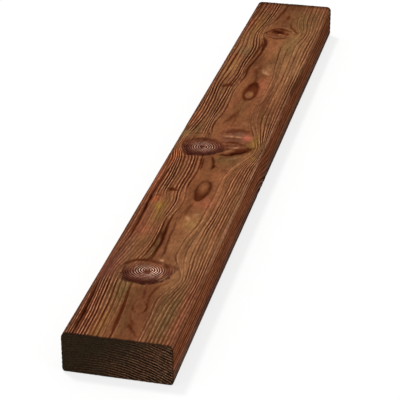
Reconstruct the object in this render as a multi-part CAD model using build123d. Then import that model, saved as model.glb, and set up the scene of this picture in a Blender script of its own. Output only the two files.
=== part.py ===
from build123d import *

import os

# Deck board: one length of planed softwood with eased long edges, lying on its underside.
# The frame: +X runs along the board, +Y across it to its left edge as seen from the near end, +Z up.
# The origin is the middle of the underside. All sizes are in millimetres.

# The board's section and length.
BOARD_LENGTH = 860.0
BOARD_WIDTH = 100.0
BOARD_THICKNESS = 40.0

# The long edges: the planer rounds the two beside the walking face more than the two below.
WALKING_EDGE_RADIUS = 6.0
UNDERSIDE_EDGE_RADIUS = 3.0

PARTS_FOLDER = "parts"


def board_section():
    """The planed section, standing on the underside, with its four corners eased."""
    blank = Rectangle(BOARD_WIDTH, BOARD_THICKNESS, align=(Align.CENTER, Align.MIN))
    walking_corners = blank.vertices().group_by(Axis.Y)[-1]
    eased_above = fillet(walking_corners, WALKING_EDGE_RADIUS)
    underside_corners = eased_above.vertices().group_by(Axis.Y)[0]
    return fillet(underside_corners, UNDERSIDE_EDGE_RADIUS)


def deck_board():
    """The section run along the grain to half the length each way, with square sawn ends."""
    return extrude(Plane.YZ * board_section(), amount=BOARD_LENGTH / 2, both=True)


def main():
    """Build the board and write it as the part's one solid."""
    os.makedirs(PARTS_FOLDER, exist_ok=True)
    board = deck_board()
    board.label = "deck_board"
    export_step(board, os.path.join(PARTS_FOLDER, "deck_board.step"))
    print("deck_board", board.bounding_box().size, "volume", round(board.volume))


main()
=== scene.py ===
"""Deck board: the looks of one planed softwood board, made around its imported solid.

The board is one closed mesh. A node tree sweeps the rounded section along the length. The growth figure then
carves the grain, the knots and the saw marks into it, always inwards from the solid's own surface. The same
figure is kept on the mesh as attributes, from which the materials draw the growth lines at any size.

Places on the walking face are in millimetres: along the board from its near end, and across it from its left
edge. Past the right edge they run on round it and down the side. The frame is the solid's own: +X runs along
the board from the near end, +Y to its left edge, +Z up.
"""

import logging
import math
from dataclasses import dataclass
from enum import Enum
from functools import reduce
from typing import Any

import bmesh
import bpy
import numpy as np
from mathutils import Matrix, Vector


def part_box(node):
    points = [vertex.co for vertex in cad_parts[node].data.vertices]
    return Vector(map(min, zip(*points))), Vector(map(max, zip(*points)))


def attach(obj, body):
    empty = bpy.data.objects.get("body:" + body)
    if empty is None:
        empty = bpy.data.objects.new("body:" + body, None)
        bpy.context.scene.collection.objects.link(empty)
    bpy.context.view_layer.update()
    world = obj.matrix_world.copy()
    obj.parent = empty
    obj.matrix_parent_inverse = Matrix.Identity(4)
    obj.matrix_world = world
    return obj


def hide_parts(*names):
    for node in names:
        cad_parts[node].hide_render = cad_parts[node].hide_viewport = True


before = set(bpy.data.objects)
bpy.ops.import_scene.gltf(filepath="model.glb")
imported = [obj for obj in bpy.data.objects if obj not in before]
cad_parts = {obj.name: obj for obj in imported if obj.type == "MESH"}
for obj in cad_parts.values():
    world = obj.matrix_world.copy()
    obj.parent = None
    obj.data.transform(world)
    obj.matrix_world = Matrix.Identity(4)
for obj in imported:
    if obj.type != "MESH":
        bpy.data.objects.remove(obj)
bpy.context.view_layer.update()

LOG = logging.getLogger("deck_board")

NODE = "deck_board"
BODY = "root"
MM = 0.001

# The kinds of value that the classes below hold. A span gives the value at its start and the one at its end.
Places = tuple[tuple[float, float], ...]
Span = tuple[float, float]
Tint = tuple[float, float, float, float]
Array = np.ndarray
Fields = dict[str, Array]
Groups = dict[str, bpy.types.NodeTree]
Socket = bpy.types.NodeSocket


def colour(red: int, green: int, blue: int) -> Tint:
    """Turn a colour as a screen shows it, from 0 to 255, into the linear one that a shader takes."""
    shares = (channel / 255 for channel in (red, green, blue))
    return *(share / 12.92 if share <= 0.04045 else ((share + 0.055) / 1.055) ** 2.4 for share in shares), 1.0


def ramp(low: float, high: float, value: Array) -> Array:
    """Rise smoothly from 0 at low to 1 at high, or fall where high is below low."""
    share = np.clip((value - low) / (high - low), 0.0, 1.0)
    return share * share * (3 - 2 * share)


def bell(offset: Array) -> Array:
    """Fall smoothly from 1 where the offset is zero, past about a third where it is one."""
    return np.exp(-offset ** 2)


@dataclass(frozen=True)
class Drift:
    """Smooth random values over a surface: how far apart they lie along and across it, and their seed.

    They lie up to an amount to either side of a base.
    """

    along_cell: float
    across_cell: float
    seed: int
    amount: float = 1.0
    base: float = 0.0
    table_size: int = 97

    def at(self, along: Array, across: Array) -> Array:
        """Work out the values.

        Args:
            along, across: the places.

        Returns:
            One value for each place.
        """
        size = self.table_size
        table = np.random.default_rng(self.seed).uniform(-1.0, 1.0, (size, size))
        u, v = along / self.along_cell, across / self.across_cell
        column, row = np.floor(u).astype(int), np.floor(v).astype(int)
        s, t = ramp(0, 1, u - column), ramp(0, 1, v - row)
        column, row, next_column, next_row = column % size, row % size, (column + 1) % size, (row + 1) % size
        near = table[column, row] * (1 - t) + table[column, next_row] * t
        far = table[next_column, row] * (1 - t) + table[next_column, next_row] * t
        return self.base + self.amount * (near * (1 - s) + far * s)


@dataclass(frozen=True)
class Zone:
    """A part of the walking face with soft borders, and how strong its effect is.

    Each border is a span along or across the board, from where the effect is nil to where it is whole.
    """

    strength: float
    along_borders: Places = ()
    across_borders: Places = ()

    def effect(self, along: Array, across: Array) -> Array:
        """Work out the zone's effect.

        Args:
            along, across: the places.

        Returns:
            How strong it is at each place.
        """
        found = np.full(len(along), self.strength)
        for value, borders in ((along, self.along_borders), (across, self.across_borders)):
            for nil, whole in borders:
                found = found * ramp(nil, whole, value)
        return found


@dataclass(frozen=True)
class GrowthLine:
    """One growth line of a face: the ring that it belongs to and the places that it runs through."""

    ring: float
    places: Places
    corner_spread: float = 8.0
    corner_reach: int = 30
    grid_start: float = -60.0
    grid_end: float = 921.0

    def across(self, along: Array) -> Array:
        """Follow the line, with its corners rounded off.

        Args:
            along: places along the face.

        Returns:
            Where the line lies across the face at each of them.
        """
        reach = self.corner_reach
        grid = np.arange(self.grid_start, self.grid_end)
        marks = np.array(self.places, float)
        weights = bell(np.arange(-reach, reach + 1) / self.corner_spread)
        raw = np.pad(np.interp(grid, marks[:, 0], marks[:, 1]), reach, mode="edge")
        return np.interp(along, grid, np.convolve(raw, weights / weights.sum(), mode="valid"))


@dataclass(frozen=True)
class Knot:
    """A knot: its place on the face, half its size, and how its wood looks.

    The shade is how dark it is and the lean how much darker its near side is. The pith and the bright part of
    the core are given from the knot's middle. The core's size is a share of the knot's.
    """

    along: float
    across: float
    half_length: float
    half_width: float
    core: float = 0.0
    shade: float = 1.0
    tilt: float = 0.0
    ring_pitch: float = 2.1
    raggedness: float = 0.05
    seed: int = 1
    bright: Span = (3.0, 5.0)
    lean: float = 0.0
    pith: Span = (0.0, 0.0)
    rim_waves: int = 6
    core_size_shares: Span = (0.32, 0.52)
    core_ground: float = 0.18
    lean_by_along: float = -1.1
    lean_by_across: float = 0.1

    def share(self, along: Array, across: Array) -> Array:
        """Measure from the knot's middle.

        Args:
            along, across: the places.

        Returns:
            How far each place lies from it, as a share of the way to the rim.
        """
        turn = math.radians(self.tilt)
        forward, sideways = along - self.along, across - self.across
        a = (forward * math.cos(turn) + sideways * math.sin(turn)) / self.half_length
        b = (sideways * math.cos(turn) - forward * math.sin(turn)) / self.half_width
        angle = np.arctan2(b, a)
        phases = np.random.default_rng(self.seed).uniform(0, 2 * math.pi, self.rim_waves)
        waves = sum(np.sin((k + 2) * angle + phase) / (1 + k / 2) for k, phase in enumerate(phases))
        return np.hypot(a, b) / (1 + self.raggedness * waves)

    def rings(self, along: Array, across: Array) -> Array:
        """The knot's own ring number at each place, counted from its pith."""
        forward, sideways = along - self.along - self.pith[0], across - self.across - self.pith[1]
        return np.hypot(forward, sideways) / self.ring_pitch

    def near(self, along: Array, across: Array) -> Array:
        """How far each place lies towards the near side of the knot, from -1 to 1."""
        forward, sideways = (along - self.along) / self.half_length, (across - self.across) / self.half_width
        return np.clip(self.lean_by_along * forward + self.lean_by_across * sideways, -1, 1)

    def lit(self, along: Array, across: Array) -> Array:
        """Light the pale core, most beside the middle, on one side.

        Args:
            along, across: the places.

        Returns:
            How much of the core shows at each place.
        """
        length, width = self.core_size_shares
        forward = (along - self.along - self.bright[0]) / (length * self.half_length)
        sideways = (across - self.across - self.bright[1]) / (width * self.half_width)
        glow = np.exp(-forward ** 2 - sideways ** 2)
        return self.core * (self.core_ground + (1 - self.core_ground) * glow)


@dataclass(frozen=True)
class Eye:
    """A long closed figure in the plain middle of the face: a dark rim and body round a pale heart.

    Its toe is a darker patch at one tip. The spans that end in edge run from nil to whole.
    """

    along: float
    across: float
    half_length: float
    half_width: float
    heart: Span
    heart_size: Span
    toe: Span
    strength: float = 1.0
    rim_width: float = 2.2
    toe_size: Span = (5.5, 3.6)
    skew: float = 0.0
    body: float = 0.36
    rim: float = 0.5
    toe_depth: float = 0.45
    glow: float = 0.14
    taper: float = 0.62
    rim_inset: float = 0.8
    body_edge: Span = (-1.2, 1.6)
    tip_edge: Span = (1.06, 0.94)
    heart_edge: Span = (0.75, 1.15)
    glow_edge: Span = (1.0, 0.7)

    def depth(self, along: Array, across: Array) -> Array:
        """Darken and lighten the wood.

        Args:
            along, across: the places.

        Returns:
            How dark, above zero, or pale, below zero, each place gets.
        """
        forward = (along - self.along) / self.half_length
        reach = np.clip(1 - forward ** 2, 0, 1) ** self.taper * self.half_width * (1 + self.skew * forward)
        inwards = reach - np.abs(across - self.across)
        tips = ramp(*self.tip_edge, np.abs(forward))
        body = self.body * ramp(*self.body_edge, inwards) * tips
        rim = self.rim * bell((inwards - self.rim_inset) / self.rim_width) * tips
        toe = self.toe_depth * bell(self.away(along, across, self.toe, self.toe_size))
        heart = self.away(along, across, self.heart, self.heart_size)
        dark = (body + rim + toe) * ramp(*self.heart_edge, heart)
        return self.strength * (dark - self.glow * ramp(*self.glow_edge, heart))

    def away(self, along: Array, across: Array, middle: Span, size: Span) -> Array:
        """How far each place lies from the middle of an oval, as a share of the way to its rim."""
        return np.hypot((along - middle[0]) / size[0], (across - middle[1]) / size[1])


@dataclass(frozen=True)
class Mark:
    """A short dark or pale mark that follows a path: depth above zero is dark and carved, below zero pale."""

    places: Places
    width: float
    depth: float
    steps: int = 4

    def curve(self) -> Array:
        """Curve the mark's path smoothly through its places.

        Returns:
            The points of the path.
        """
        given = np.array(self.places, float)
        padded = np.vstack([2 * given[0] - given[1], given, 2 * given[-1] - given[-2]])
        found = []
        for a, b, c, d in zip(padded, padded[1:], padded[2:], padded[3:]):
            for step in range(self.steps):
                t = step / self.steps
                bend = 2 * a - 5 * b + 4 * c - d + t * (3 * b - a - 3 * c + d)
                found.append(b + 0.5 * t * (c - a + t * bend))
        return np.vstack([found, given[-1]])


class Half(Enum):
    """The two halves of the walking face, to the left and the right of its plain middle."""

    LEFT = -1
    RIGHT = 1


@dataclass(frozen=True)
class Bold:
    """A stretch of growth lines that stand out: the rings, the stretch, how strongly, and on which half."""

    half: Half
    ring: float
    start: float
    end: float
    strength: float
    reach: float = 0.45


@dataclass(frozen=True)
class Stain:
    """A patch of another colour on the face."""

    along: float
    across: float
    half_length: float
    half_width: float
    tint: Tint
    strength: float


WALKING_LINES = tuple(GrowthLine(*row) for row in (
    # Left half, from the edge inwards.
    (16, ((0, 0), (119, -2), (391, -5), (500, 0), (860, 0))),
    (11, ((0, 9.4), (40, 8.8), (60, 8.3), (90, 6.2), (119, 5.5), (145, 7), (162, 8), (180, 9.5), (200, 10.3),
     (250, 10.6), (280, 9.8), (300, 10.3), (320, 10.8), (345, 10.2), (370, 8.2), (391, 3.5), (415, 4.5),
     (440, 7), (460, 9), (500, 10), (540, 8), (562, 6), (600, 5), (650, 6.3), (700, 7), (745, 4.5),
     (800, 6.5), (830, 8.2), (860, 9))),
    (7, ((0, 18.1), (40, 17.5), (60, 15.9), (90, 13.6), (119, 12.5), (145, 17.5), (175, 21), (225, 21.5),
     (262, 21.3), (280, 18.5), (300, 18.9), (320, 19.4), (345, 18.4), (367, 16.6), (391, 8), (415, 11),
     (440, 14.5), (460, 16.8), (480, 18.3), (520, 18.6), (562, 15), (600, 18), (650, 19.5), (690, 19),
     (745, 14.5), (790, 18.5), (860, 20.5))),
    (5, ((0, 23.2), (40, 22.4), (60, 21), (95, 18.4), (119, 17), (140, 23), (175, 29), (225, 28.3),
     (262, 28.3), (280, 23), (300, 24.2), (320, 24.8), (345, 24.2), (367, 22.8), (391, 15), (415, 21),
     (450, 23.3), (480, 23.4), (520, 22.5), (562, 22.5), (600, 25), (640, 24), (690, 26), (725, 20),
     (745, 19.5), (790, 24.5), (820, 26.5), (860, 27))),
    (3, ((0, 29.3), (30, 28.8), (50, 27.9), (70, 26.4), (95, 24.2), (119, 22.5), (140, 28.5), (175, 33),
     (200, 33), (225, 31.8), (240, 33.6), (262, 34.5), (280, 30.5), (300, 29.9), (320, 30.7), (345, 30.2),
     (367, 28.8), (391, 20), (417, 26), (450, 26), (480, 26.3), (520, 26.5), (545, 26), (562, 26.5),
     (600, 29), (640, 28), (690, 30), (722, 25), (745, 23), (790, 28), (820, 30.5), (860, 31))),
    (1, ((0, 37.2), (30, 36.7), (50, 35.8), (70, 34.4), (95, 31.7), (119, 28.5), (140, 33.5), (155, 36.8),
     (175, 37.5), (200, 37), (222, 35.8), (240, 38), (262, 39.6), (280, 36.4), (300, 35.5), (320, 36.7),
     (345, 36.5), (367, 34.6), (391, 28), (417, 30.5), (450, 28.6), (470, 28.6), (485, 30.3), (500, 31.3),
     (520, 30.7), (545, 29.3), (562, 30), (580, 31.5), (600, 32.5), (622, 31), (640, 32.5), (660, 34.4),
     (690, 34.5), (703, 33.5), (715, 31.3), (727, 27.5), (745, 26), (762, 27.5), (790, 31), (810, 33.8),
     (830, 35.2), (860, 36))),
    (0, ((0, 43.8), (20, 43.4), (40, 42.4), (55, 41), (70, 39.3), (92, 37), (119, 35.5), (140, 39.5),
     (150, 42), (162, 44), (180, 43.8), (200, 42.3), (215, 41), (228, 40.5), (250, 44), (265, 44.2),
     (280, 42.4), (292, 40.2), (305, 39.8), (320, 41), (345, 41.1), (367, 38.8), (391, 38), (417, 36),
     (450, 31.5), (465, 32), (480, 34.2), (500, 35.6), (517, 35), (535, 34), (555, 33), (572, 34.6),
     (590, 36), (600, 37), (612, 36), (622, 35.6), (640, 37.6), (652, 39), (675, 40.8), (690, 41.2),
     (705, 40), (716, 38), (724, 35), (735, 32), (750, 31), (762, 31.5), (775, 33), (792, 37), (810, 38.8),
     (825, 40.5), (840, 42), (860, 42.8))),
    # The plain middle.
    (-0.5, ((0, 56), (60, 54), (119, 56), (170, 54), (225, 54), (290, 56), (360, 56), (430, 52), (551, 52),
     (600, 53), (660, 52), (747, 52), (860, 55))),
    # Right half, from the middle outwards.
    (0, ((0, 68), (40, 68), (60, 67), (72, 66.3), (80, 68.8), (90, 71.5), (100, 75), (108, 78), (119, 77),
     (130, 72.5), (137, 69), (145, 64.7), (155, 62.6), (170, 64), (182, 64.3), (192, 66), (205, 67.6),
     (220, 69.8), (240, 70.8), (290, 71), (305, 70), (330, 70.3), (345, 73), (360, 78), (375, 84.5),
     (390, 89.5), (405, 89), (420, 84), (440, 78), (462, 71), (490, 67.5), (517, 67), (545, 70), (600, 69.8),
     (620, 68), (640, 66), (660, 64), (680, 62.2), (700, 61.8), (715, 64), (730, 71), (742, 75), (753, 75.5),
     (765, 71), (780, 66.5), (800, 65), (860, 67))),
    (1, ((0, 71), (40, 71), (60, 70.7), (75, 73.5), (85, 76.5), (95, 79), (108, 81), (119, 79.8), (130, 77),
     (140, 74), (150, 72), (165, 71.3), (180, 72), (200, 74), (215, 75), (228, 76.8), (250, 77), (290, 77),
     (305, 75.5), (317, 74), (330, 75), (345, 78.3), (360, 82.5), (375, 88), (390, 92), (405, 91.8),
     (420, 88), (440, 82), (460, 76), (480, 73.3), (500, 71.6), (517, 71), (530, 73), (545, 75), (570, 76),
     (600, 75.5), (625, 74.3), (648, 72.8), (675, 70.6), (700, 70), (715, 72), (730, 77), (742, 79),
     (755, 79.5), (770, 78), (785, 74.5), (800, 72.3), (820, 71), (860, 71))),
    (2, ((0, 74.3), (60, 74), (75, 76.5), (85, 79), (95, 81.3), (108, 83.3), (119, 82.5), (135, 80.3),
     (150, 77.5), (176, 77), (200, 78), (228, 79.8), (260, 80.6), (300, 81), (320, 80), (345, 82),
     (360, 85.5), (375, 90), (390, 93.7), (405, 93.5), (420, 90.5), (440, 86), (460, 81.3), (480, 79.5),
     (513, 79), (545, 79.5), (600, 79.5), (648, 78), (700, 75.5), (715, 77), (730, 80.5), (742, 82),
     (755, 82.5), (770, 80.5), (785, 77.7), (800, 76), (830, 75), (860, 75))),
    (5, ((0, 83.3), (60, 84), (85, 86.5), (108, 89), (130, 88.3), (150, 86.5), (200, 86), (260, 87),
     (320, 88), (345, 88.8), (360, 91), (375, 94), (390, 96.5), (405, 96.3), (420, 94.5), (440, 92),
     (460, 89.6), (480, 88.5), (517, 88), (600, 88), (700, 86), (742, 88.5), (755, 89.3), (785, 87),
     (860, 84.5))),
    (10, ((0, 98), (108, 99.5), (200, 98.5), (390, 102), (460, 99.5), (600, 98), (745, 99.5), (860, 98))),
))

UNDERSIDE_LINES = tuple(GrowthLine(*row) for row in (
    (30, ((0, 12), (150, 14), (320, 9), (391, 7), (470, 12), (640, 15), (860, 11))),
    (26, ((0, 24), (150, 27), (320, 23), (391, 17), (470, 25), (640, 29), (860, 24))),
    (24, ((0, 33), (119, 30), (200, 37), (320, 33), (391, 24), (470, 35), (640, 40), (760, 33), (860, 34))),
    (23.4, ((0, 48), (200, 51), (391, 47), (640, 54), (860, 50))),
    (24, ((0, 62), (119, 71), (200, 64), (320, 62), (391, 68), (470, 64), (640, 69), (760, 66), (860, 63))),
    (26, ((0, 74), (119, 80), (200, 75), (391, 78), (470, 75), (640, 79), (860, 74))),
    (28, ((0, 87), (119, 90), (200, 87), (391, 89), (640, 90), (860, 87))),
))

WALKING_KNOTS = (
    Knot(118, 45.5, 22.5, 27, core=1.3, shade=0.95, tilt=-8, ring_pitch=2.35, raggedness=0.07, seed=11,
         lean=0.7, bright=(2.5, 0.5), pith=(3, -0.5)),
    Knot(392.5, 33, 24.5, 22.5, core=0.9, shade=1.05, tilt=6, ring_pitch=2.6, raggedness=0.04, seed=4,
         bright=(0, 1), lean=0.35),
    Knot(748, 50.5, 15, 13, core=0.0, shade=0.25, tilt=20, ring_pitch=3.4, raggedness=0.14, seed=9),
)

UNDERSIDE_KNOTS = (
    Knot(112, 50, 15, 13, core=0.7, shade=1.0, ring_pitch=2.0, raggedness=0.06, seed=31),
    Knot(399, 40, 14, 12, core=0.6, shade=1.05, ring_pitch=2.0, raggedness=0.06, seed=32),
    Knot(742, 52, 8, 7, core=0.1, shade=0.8, ring_pitch=2.4, raggedness=0.12, seed=33),
)

EYES = (
    Eye(289, 57.3, 25, 7.6, (299, 56.4), (8.4, 5.0), (276, 57), 1.0, 2.5, (9.0, 4.4), 0.2),
    Eye(553.5, 53.4, 29, 8.0, (542.5, 53.4), (9.0, 5.0), (568, 52), 1.15, 3.2, (12.0, 6.0), -0.2, 0.5),
)

# Each row holds a mark's width and depth, and the places that it runs through.
MARKS = tuple(Mark(tuple(places), width, depth) for width, depth, *places in (
    # Before the near knot.
    (1.4, 0.4, (19, 55), (22, 58)),
    (1.5, 0.9, (7, 66), (11, 63.6), (18, 58.5), (24, 54.5), (30, 56.2), (35, 52.7), (46, 49.6)),
    (1.4, 1.15, (94, 36.5), (80, 37.6), (68, 39), (51, 41), (39, 41.7), (26, 41.9), (1, 43.5), (-40, 44)),
    (1.25, 1.6, (98, 6.6), (90, 7.3), (73, 8.6), (54, 9.5), (39, 10), (21, 10.4), (1, 10.9), (-50, 11.5)),
    (1.0, -0.35, (50, 59.5), (57, 59.6)),
    (3.2, 0.35, (51, 55.5), (61, 54.5)),
    (0.9, 0.8, (67, 51), (60, 49), (52, 50), (46, 54), (45.5, 58.5), (50, 61), (57, 61.3), (64, 58),
     (68, 54)),
    (1.3, 0.7, (68, 51.6), (73, 54.4), (82, 53.4), (94, 52)),
    (1.3, 0.75, (50, 61.6), (62, 61), (73, 60), (84, 60.5), (95, 63), (100, 68), (108, 73)),
    (1.2, 0.5, (90, 43.3), (82, 45), (76, 47.8)),
    (1.8, -0.5, (91, 50), (92, 51)),
    # Round the near knot.
    (1.3, -0.45, (116, 65), (109, 64), (103, 59)),
    (1.3, -0.5, (118, 60), (111, 60), (106, 56)),
    (1.2, -0.35, (119, 69.5), (111, 69)),
    (1.6, -0.7, (124.5, 19), (127.5, 24)),
    (2.6, 0.8, (136, 57.7), (131, 61), (127, 63)),
    (2.4, 1.0, (122, 18.8), (129, 22.5), (135, 28.2), (138, 35.4), (138, 44), (135, 54)),
    (1.7, -0.9, (141, 51.3), (139.7, 55.2)),
    # From the near knot to the first eye.
    (1.6, -0.35, (156, 40.5), (170, 41), (186, 39)),
    (1.1, 1.35, (142, 33.5), (150, 35.5), (160, 36.4), (172, 37.6), (185, 38), (200, 37.5), (226, 36.4)),
    (1.2, 0.85, (146, 51.5), (153, 52), (160, 51.5), (172, 50), (206, 48.5), (227, 46)),
    (1.8, 1.6, (142, 42.6), (155, 43.4), (168, 43.6), (184, 43), (200, 42.2), (215, 41), (232, 41)),
    (2.4, -0.6, (224, 59), (228, 57), (232, 54)),
    (1.6, 0.5, (222, 49), (230, 49), (241, 49.5)),
    (2.8, -0.45, (233, 61), (237, 64), (240, 68)),
    (1.8, 0.55, (228, 51), (233, 52.4), (245, 52.2), (254, 53), (262, 55)),
    (1.4, 0.3, (262, 55.5), (250, 54.5), (240, 56)),
    (0.9, 1.8, (345, 12), (322, 10.5), (295, 9.8), (272, 9.5), (244, 10), (215, 11.1), (187, 11.1),
     (150, 9)),
    (1.5, 0.7, (270, 12.4), (271, 15.7), (269, 19.6)),
    # Round the first eye.
    (2.8, 1.4, (283, 24), (286.5, 27), (284, 32)),
    (1.5, 0.25, (313, 57), (325, 56), (338, 55)),
    (4.0, 0.4, (341, 69), (333, 72)),
    (2.2, 0.85, (338, 55), (344, 55), (348, 57), (346, 60)),
    # Round the middle knot and the figure on its right.
    (1.6, 0.9, (368, 40.5), (353, 42.3), (336, 44.2)),
    (1.7, 1.0, (344, 56.3), (357, 53), (371, 48)),
    (1.6, 0.55, (358, 57), (369, 58), (371, 63)),
    (2.4, -0.3, (366, 38), (366, 45)),
    (3.0, -0.35, (364, 60), (368, 68), (376, 78), (385, 87)),
    (2.0, 0.8, (377, 56), (376, 64), (383, 70)),
    (2.4, 0.75, (375, 53), (377, 60), (380, 68), (385, 77)),
    (2.2, -0.35, (382, 56), (386, 63), (389, 69)),
    (1.4, 0.8, (382, 69), (386, 77), (392, 83)),
    (5.8, 1.2, (384, 68), (388, 74.5), (393, 80), (399, 86)),
    (2.6, 0.35, (378, 57), (391, 59), (405, 57)),
    (2.2, 0.6, (389, 55), (393, 63), (393, 72)),
    (2.0, -0.5, (385, 60), (394, 67), (401, 72)),
    (1.8, -0.4, (396, 60), (397, 68)),
    (1.5, -0.4, (393, 66), (400, 73), (406, 82)),
    (2.0, 0.55, (399, 54), (402, 64), (401, 74)),
    (1.6, -0.4, (400, 76), (402, 80)),
    (2.2, 0.75, (408, 52), (410, 61), (407, 71), (402, 79), (397, 84)),
    (3.4, 0.7, (397, 12.5), (406.5, 16), (411.5, 24), (412, 35), (407.5, 46), (400, 53.5)),
    (2.5, 0.5, (407, 56), (412, 63), (411, 70)),
    (3.0, 0.5, (417, 48), (420, 60), (418, 72)),
    (1.5, -0.45, (417, 6), (421, 16), (425, 30)),
    (2.2, 0.25, (412, 60), (424, 62), (434, 58)),
    (2.2, -0.35, (423, 56), (424, 68)),
    (1.5, 0.5, (420, 8), (424, 22), (428, 36)),
    (1.8, -0.45, (423, 50), (425, 62), (425, 74)),
    (1.4, 0.45, (417, 32), (425, 32.5), (432, 31)),
    (1.8, -0.3, (424, 47), (427.5, 57), (429, 68)),
    (1.4, 0.4, (424, 12), (429, 26), (433, 38)),
    (1.4, -0.35, (427, 14), (431, 26), (436, 40)),
    (6.0, 0.8, (431, 46), (438, 55), (442, 64), (438, 78)),
    # From the middle knot to the second eye.
    (1.8, -0.35, (448, 48), (449, 60), (446, 72)),
    (1.2, 0.4, (447, 56), (458, 56.5)),
    (1.2, 0.4, (450, 59.5), (463, 60)),
    (3.0, -0.25, (452, 70), (462, 65), (470, 60)),
    (1.4, 0.55, (447, 52.6), (460, 52), (475, 52), (492, 52)),
    (2.3, 0.75, (455, 41), (465, 44.5), (475, 47.3), (485, 48.7), (492, 51), (502, 52)),
    (2.0, 0.25, (494, 62), (500, 65.5), (507, 62.5)),
    (1.6, 0.35, (527, 52), (518, 51.5), (508, 52.5)),
    (2.0, 0.55, (508, 69), (518, 70.6), (532, 75)),
    # Round the second eye.
    (4.4, 1.0, (560, 17), (565, 21), (566, 27)),
    (1.2, 0.5, (569, 34.5), (574, 34)),
    (3.2, 0.5, (566, 24), (580, 28), (598, 30.5)),
    (1.6, 0.35, (580, 52.5), (590, 52), (600, 50.5)),
    (2.6, 0.35, (585, 51), (600, 52)),
    # From the second eye to the far knot.
    (2.4, -0.65, (622, 54.5), (614, 57.5), (609, 61), (610.5, 67)),
    (3.0, 0.65, (601, 50), (610, 48.5), (618, 46.5), (625, 48.5), (640, 50.5)),
    (1.1, 0.7, (631, 28.5), (636, 28)),
    (1.3, 0.95, (600, 34.5), (620, 35), (640, 37.5), (658, 39.6), (690, 40.2)),
    (1.3, 0.35, (628, 42.5), (645, 42), (665, 46), (680, 47)),
    (1.3, 0.95, (630, 31), (653, 33.6), (672, 35), (690, 36), (706, 36), (724, 32.5)),
    (1.9, 1.3, (680, 40.2), (697, 40.4), (712, 39.8), (728, 35)),
    (1.2, 0.35, (698, 50.5), (712, 50), (725, 47.5)),
    # Round the far knot.
    (2.1, 0.8, (735, 35.5), (728, 47), (730.5, 58), (738, 65)),
    (1.6, -0.2, (730, 76), (738, 76)),
    (1.6, -0.5, (734, 47), (736, 48)),
    (1.7, 0.65, (748, 33), (741, 38), (738, 46), (740, 54)),
    (1.8, -1.1, (742, 52.5), (745, 51.5)),
    (1.6, 0.6, (744, 45), (746, 50), (745, 56)),
    (2.0, 0.65, (738, 60), (746, 62), (752, 60)),
    (2.2, 0.7, (744, 40), (750, 41), (754, 43)),
    (2.0, 0.75, (742, 31), (750, 35.5), (757, 40)),
    (5.6, 1.6, (757, 42), (752, 49), (748, 56)),
    (1.8, 0.5, (765, 63), (754, 72), (744, 73)),
    (1.6, -0.55, (752, 69.5), (758, 67)),
    (1.3, 0.6, (754, 38.5), (762, 45), (763, 54), (756, 65)),
    (1.9, 0.75, (760, 41), (765, 47), (761, 55), (755, 65)),
    (2.0, 0.45, (752, 72), (762, 68), (770, 63)),
    (2.2, -0.4, (767, 45), (769, 53), (766, 59)),
    (1.6, 0.45, (770, 44), (773, 52), (768, 60)),
    (1.6, 0.5, (784, 58), (774, 61.5), (765, 65)),
    # Past the far knot.
    (1.5, 0.4, (771, 37.5), (780, 41), (792, 43)),
    (1.3, 0.5, (765, 62), (780, 60), (795, 59), (808, 58)),
    (2.0, 0.6, (820, 51), (806, 51.4), (792, 50.6), (778, 48)),
    (2.6, 0.45, (800, 52), (807, 53.5), (814, 51.5)),
    (2.3, 0.75, (792, 37), (815, 40), (835, 42), (858, 44)),
    (1.8, 0.6, (799, 6.5), (825, 8), (858, 9.5)),
    (2.2, 0.3, (832, 51), (850, 52.5)),
    (1.3, 1.2, (859, 8), (846, 6.4), (828, 5)),
))

BOLD_LINES = tuple(Bold(half, *row) for half, rows in (
    (Half.LEFT, (
        (0, -10, 80, 0.4), (3, -10, 85, 0.2), (5, -10, 85, 0.3), (0, 142, 225, 0.3), (1, 142, 225, -0.4),
        (0, 500, 555, 0.6), (1, 500, 555, 0.9), (2, 495, 545, 0.7), (0, 290, 370, 0.35), (1, 290, 370, 0.3),
        (3, 290, 370, 0.3), (5, 295, 370, 0.35), (3, 440, 565, 0.5, 1.2), (0, 440, 500, 0.5),
        (1, 440, 510, 0.9), (2, 440, 505, 0.9), (6, 440, 560, 0.4, 1.5), (0, 580, 722, 1.35),
        (1, 645, 722, 1.1), (0, 790, 870, 2.2), (1, 800, 870, 0.5), (8, 800, 870, 0.9, 0.5),
        (3, 640, 700, 0.4))),
    (Half.RIGHT, (
        (1, 40, 112, 0.5), (0, 60, 110, 0.4), (1, 150, 260, 0.7), (0, 140, 235, 0.5),
        (3.5, -10, 110, 0.3, 1.2), (5, 320, 545, 0.4, 2.2), (1, 480, 545, 0.5), (1, 600, 700, 0.9),
        (0, 620, 700, 0.45), (1, 765, 830, 0.3), (4, 755, 850, 0.25, 2.5), (9.2, 40, 110, 0.5),
        (8.5, 215, 340, 0.6))),
) for row in rows)

RED = colour(148, 70, 52)
ORANGE = colour(186, 88, 38)
YELLOW = colour(140, 112, 34)
OLIVE = colour(104, 88, 50)
GREEN = colour(78, 76, 46)
GREY = colour(74, 70, 72)
PLUM = colour(98, 50, 46)
PINK = colour(176, 92, 72)
MOSS = colour(142, 108, 62)
WARM = colour(168, 96, 62)
BROWN = colour(84, 52, 33)
TAN = colour(174, 122, 82)

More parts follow.
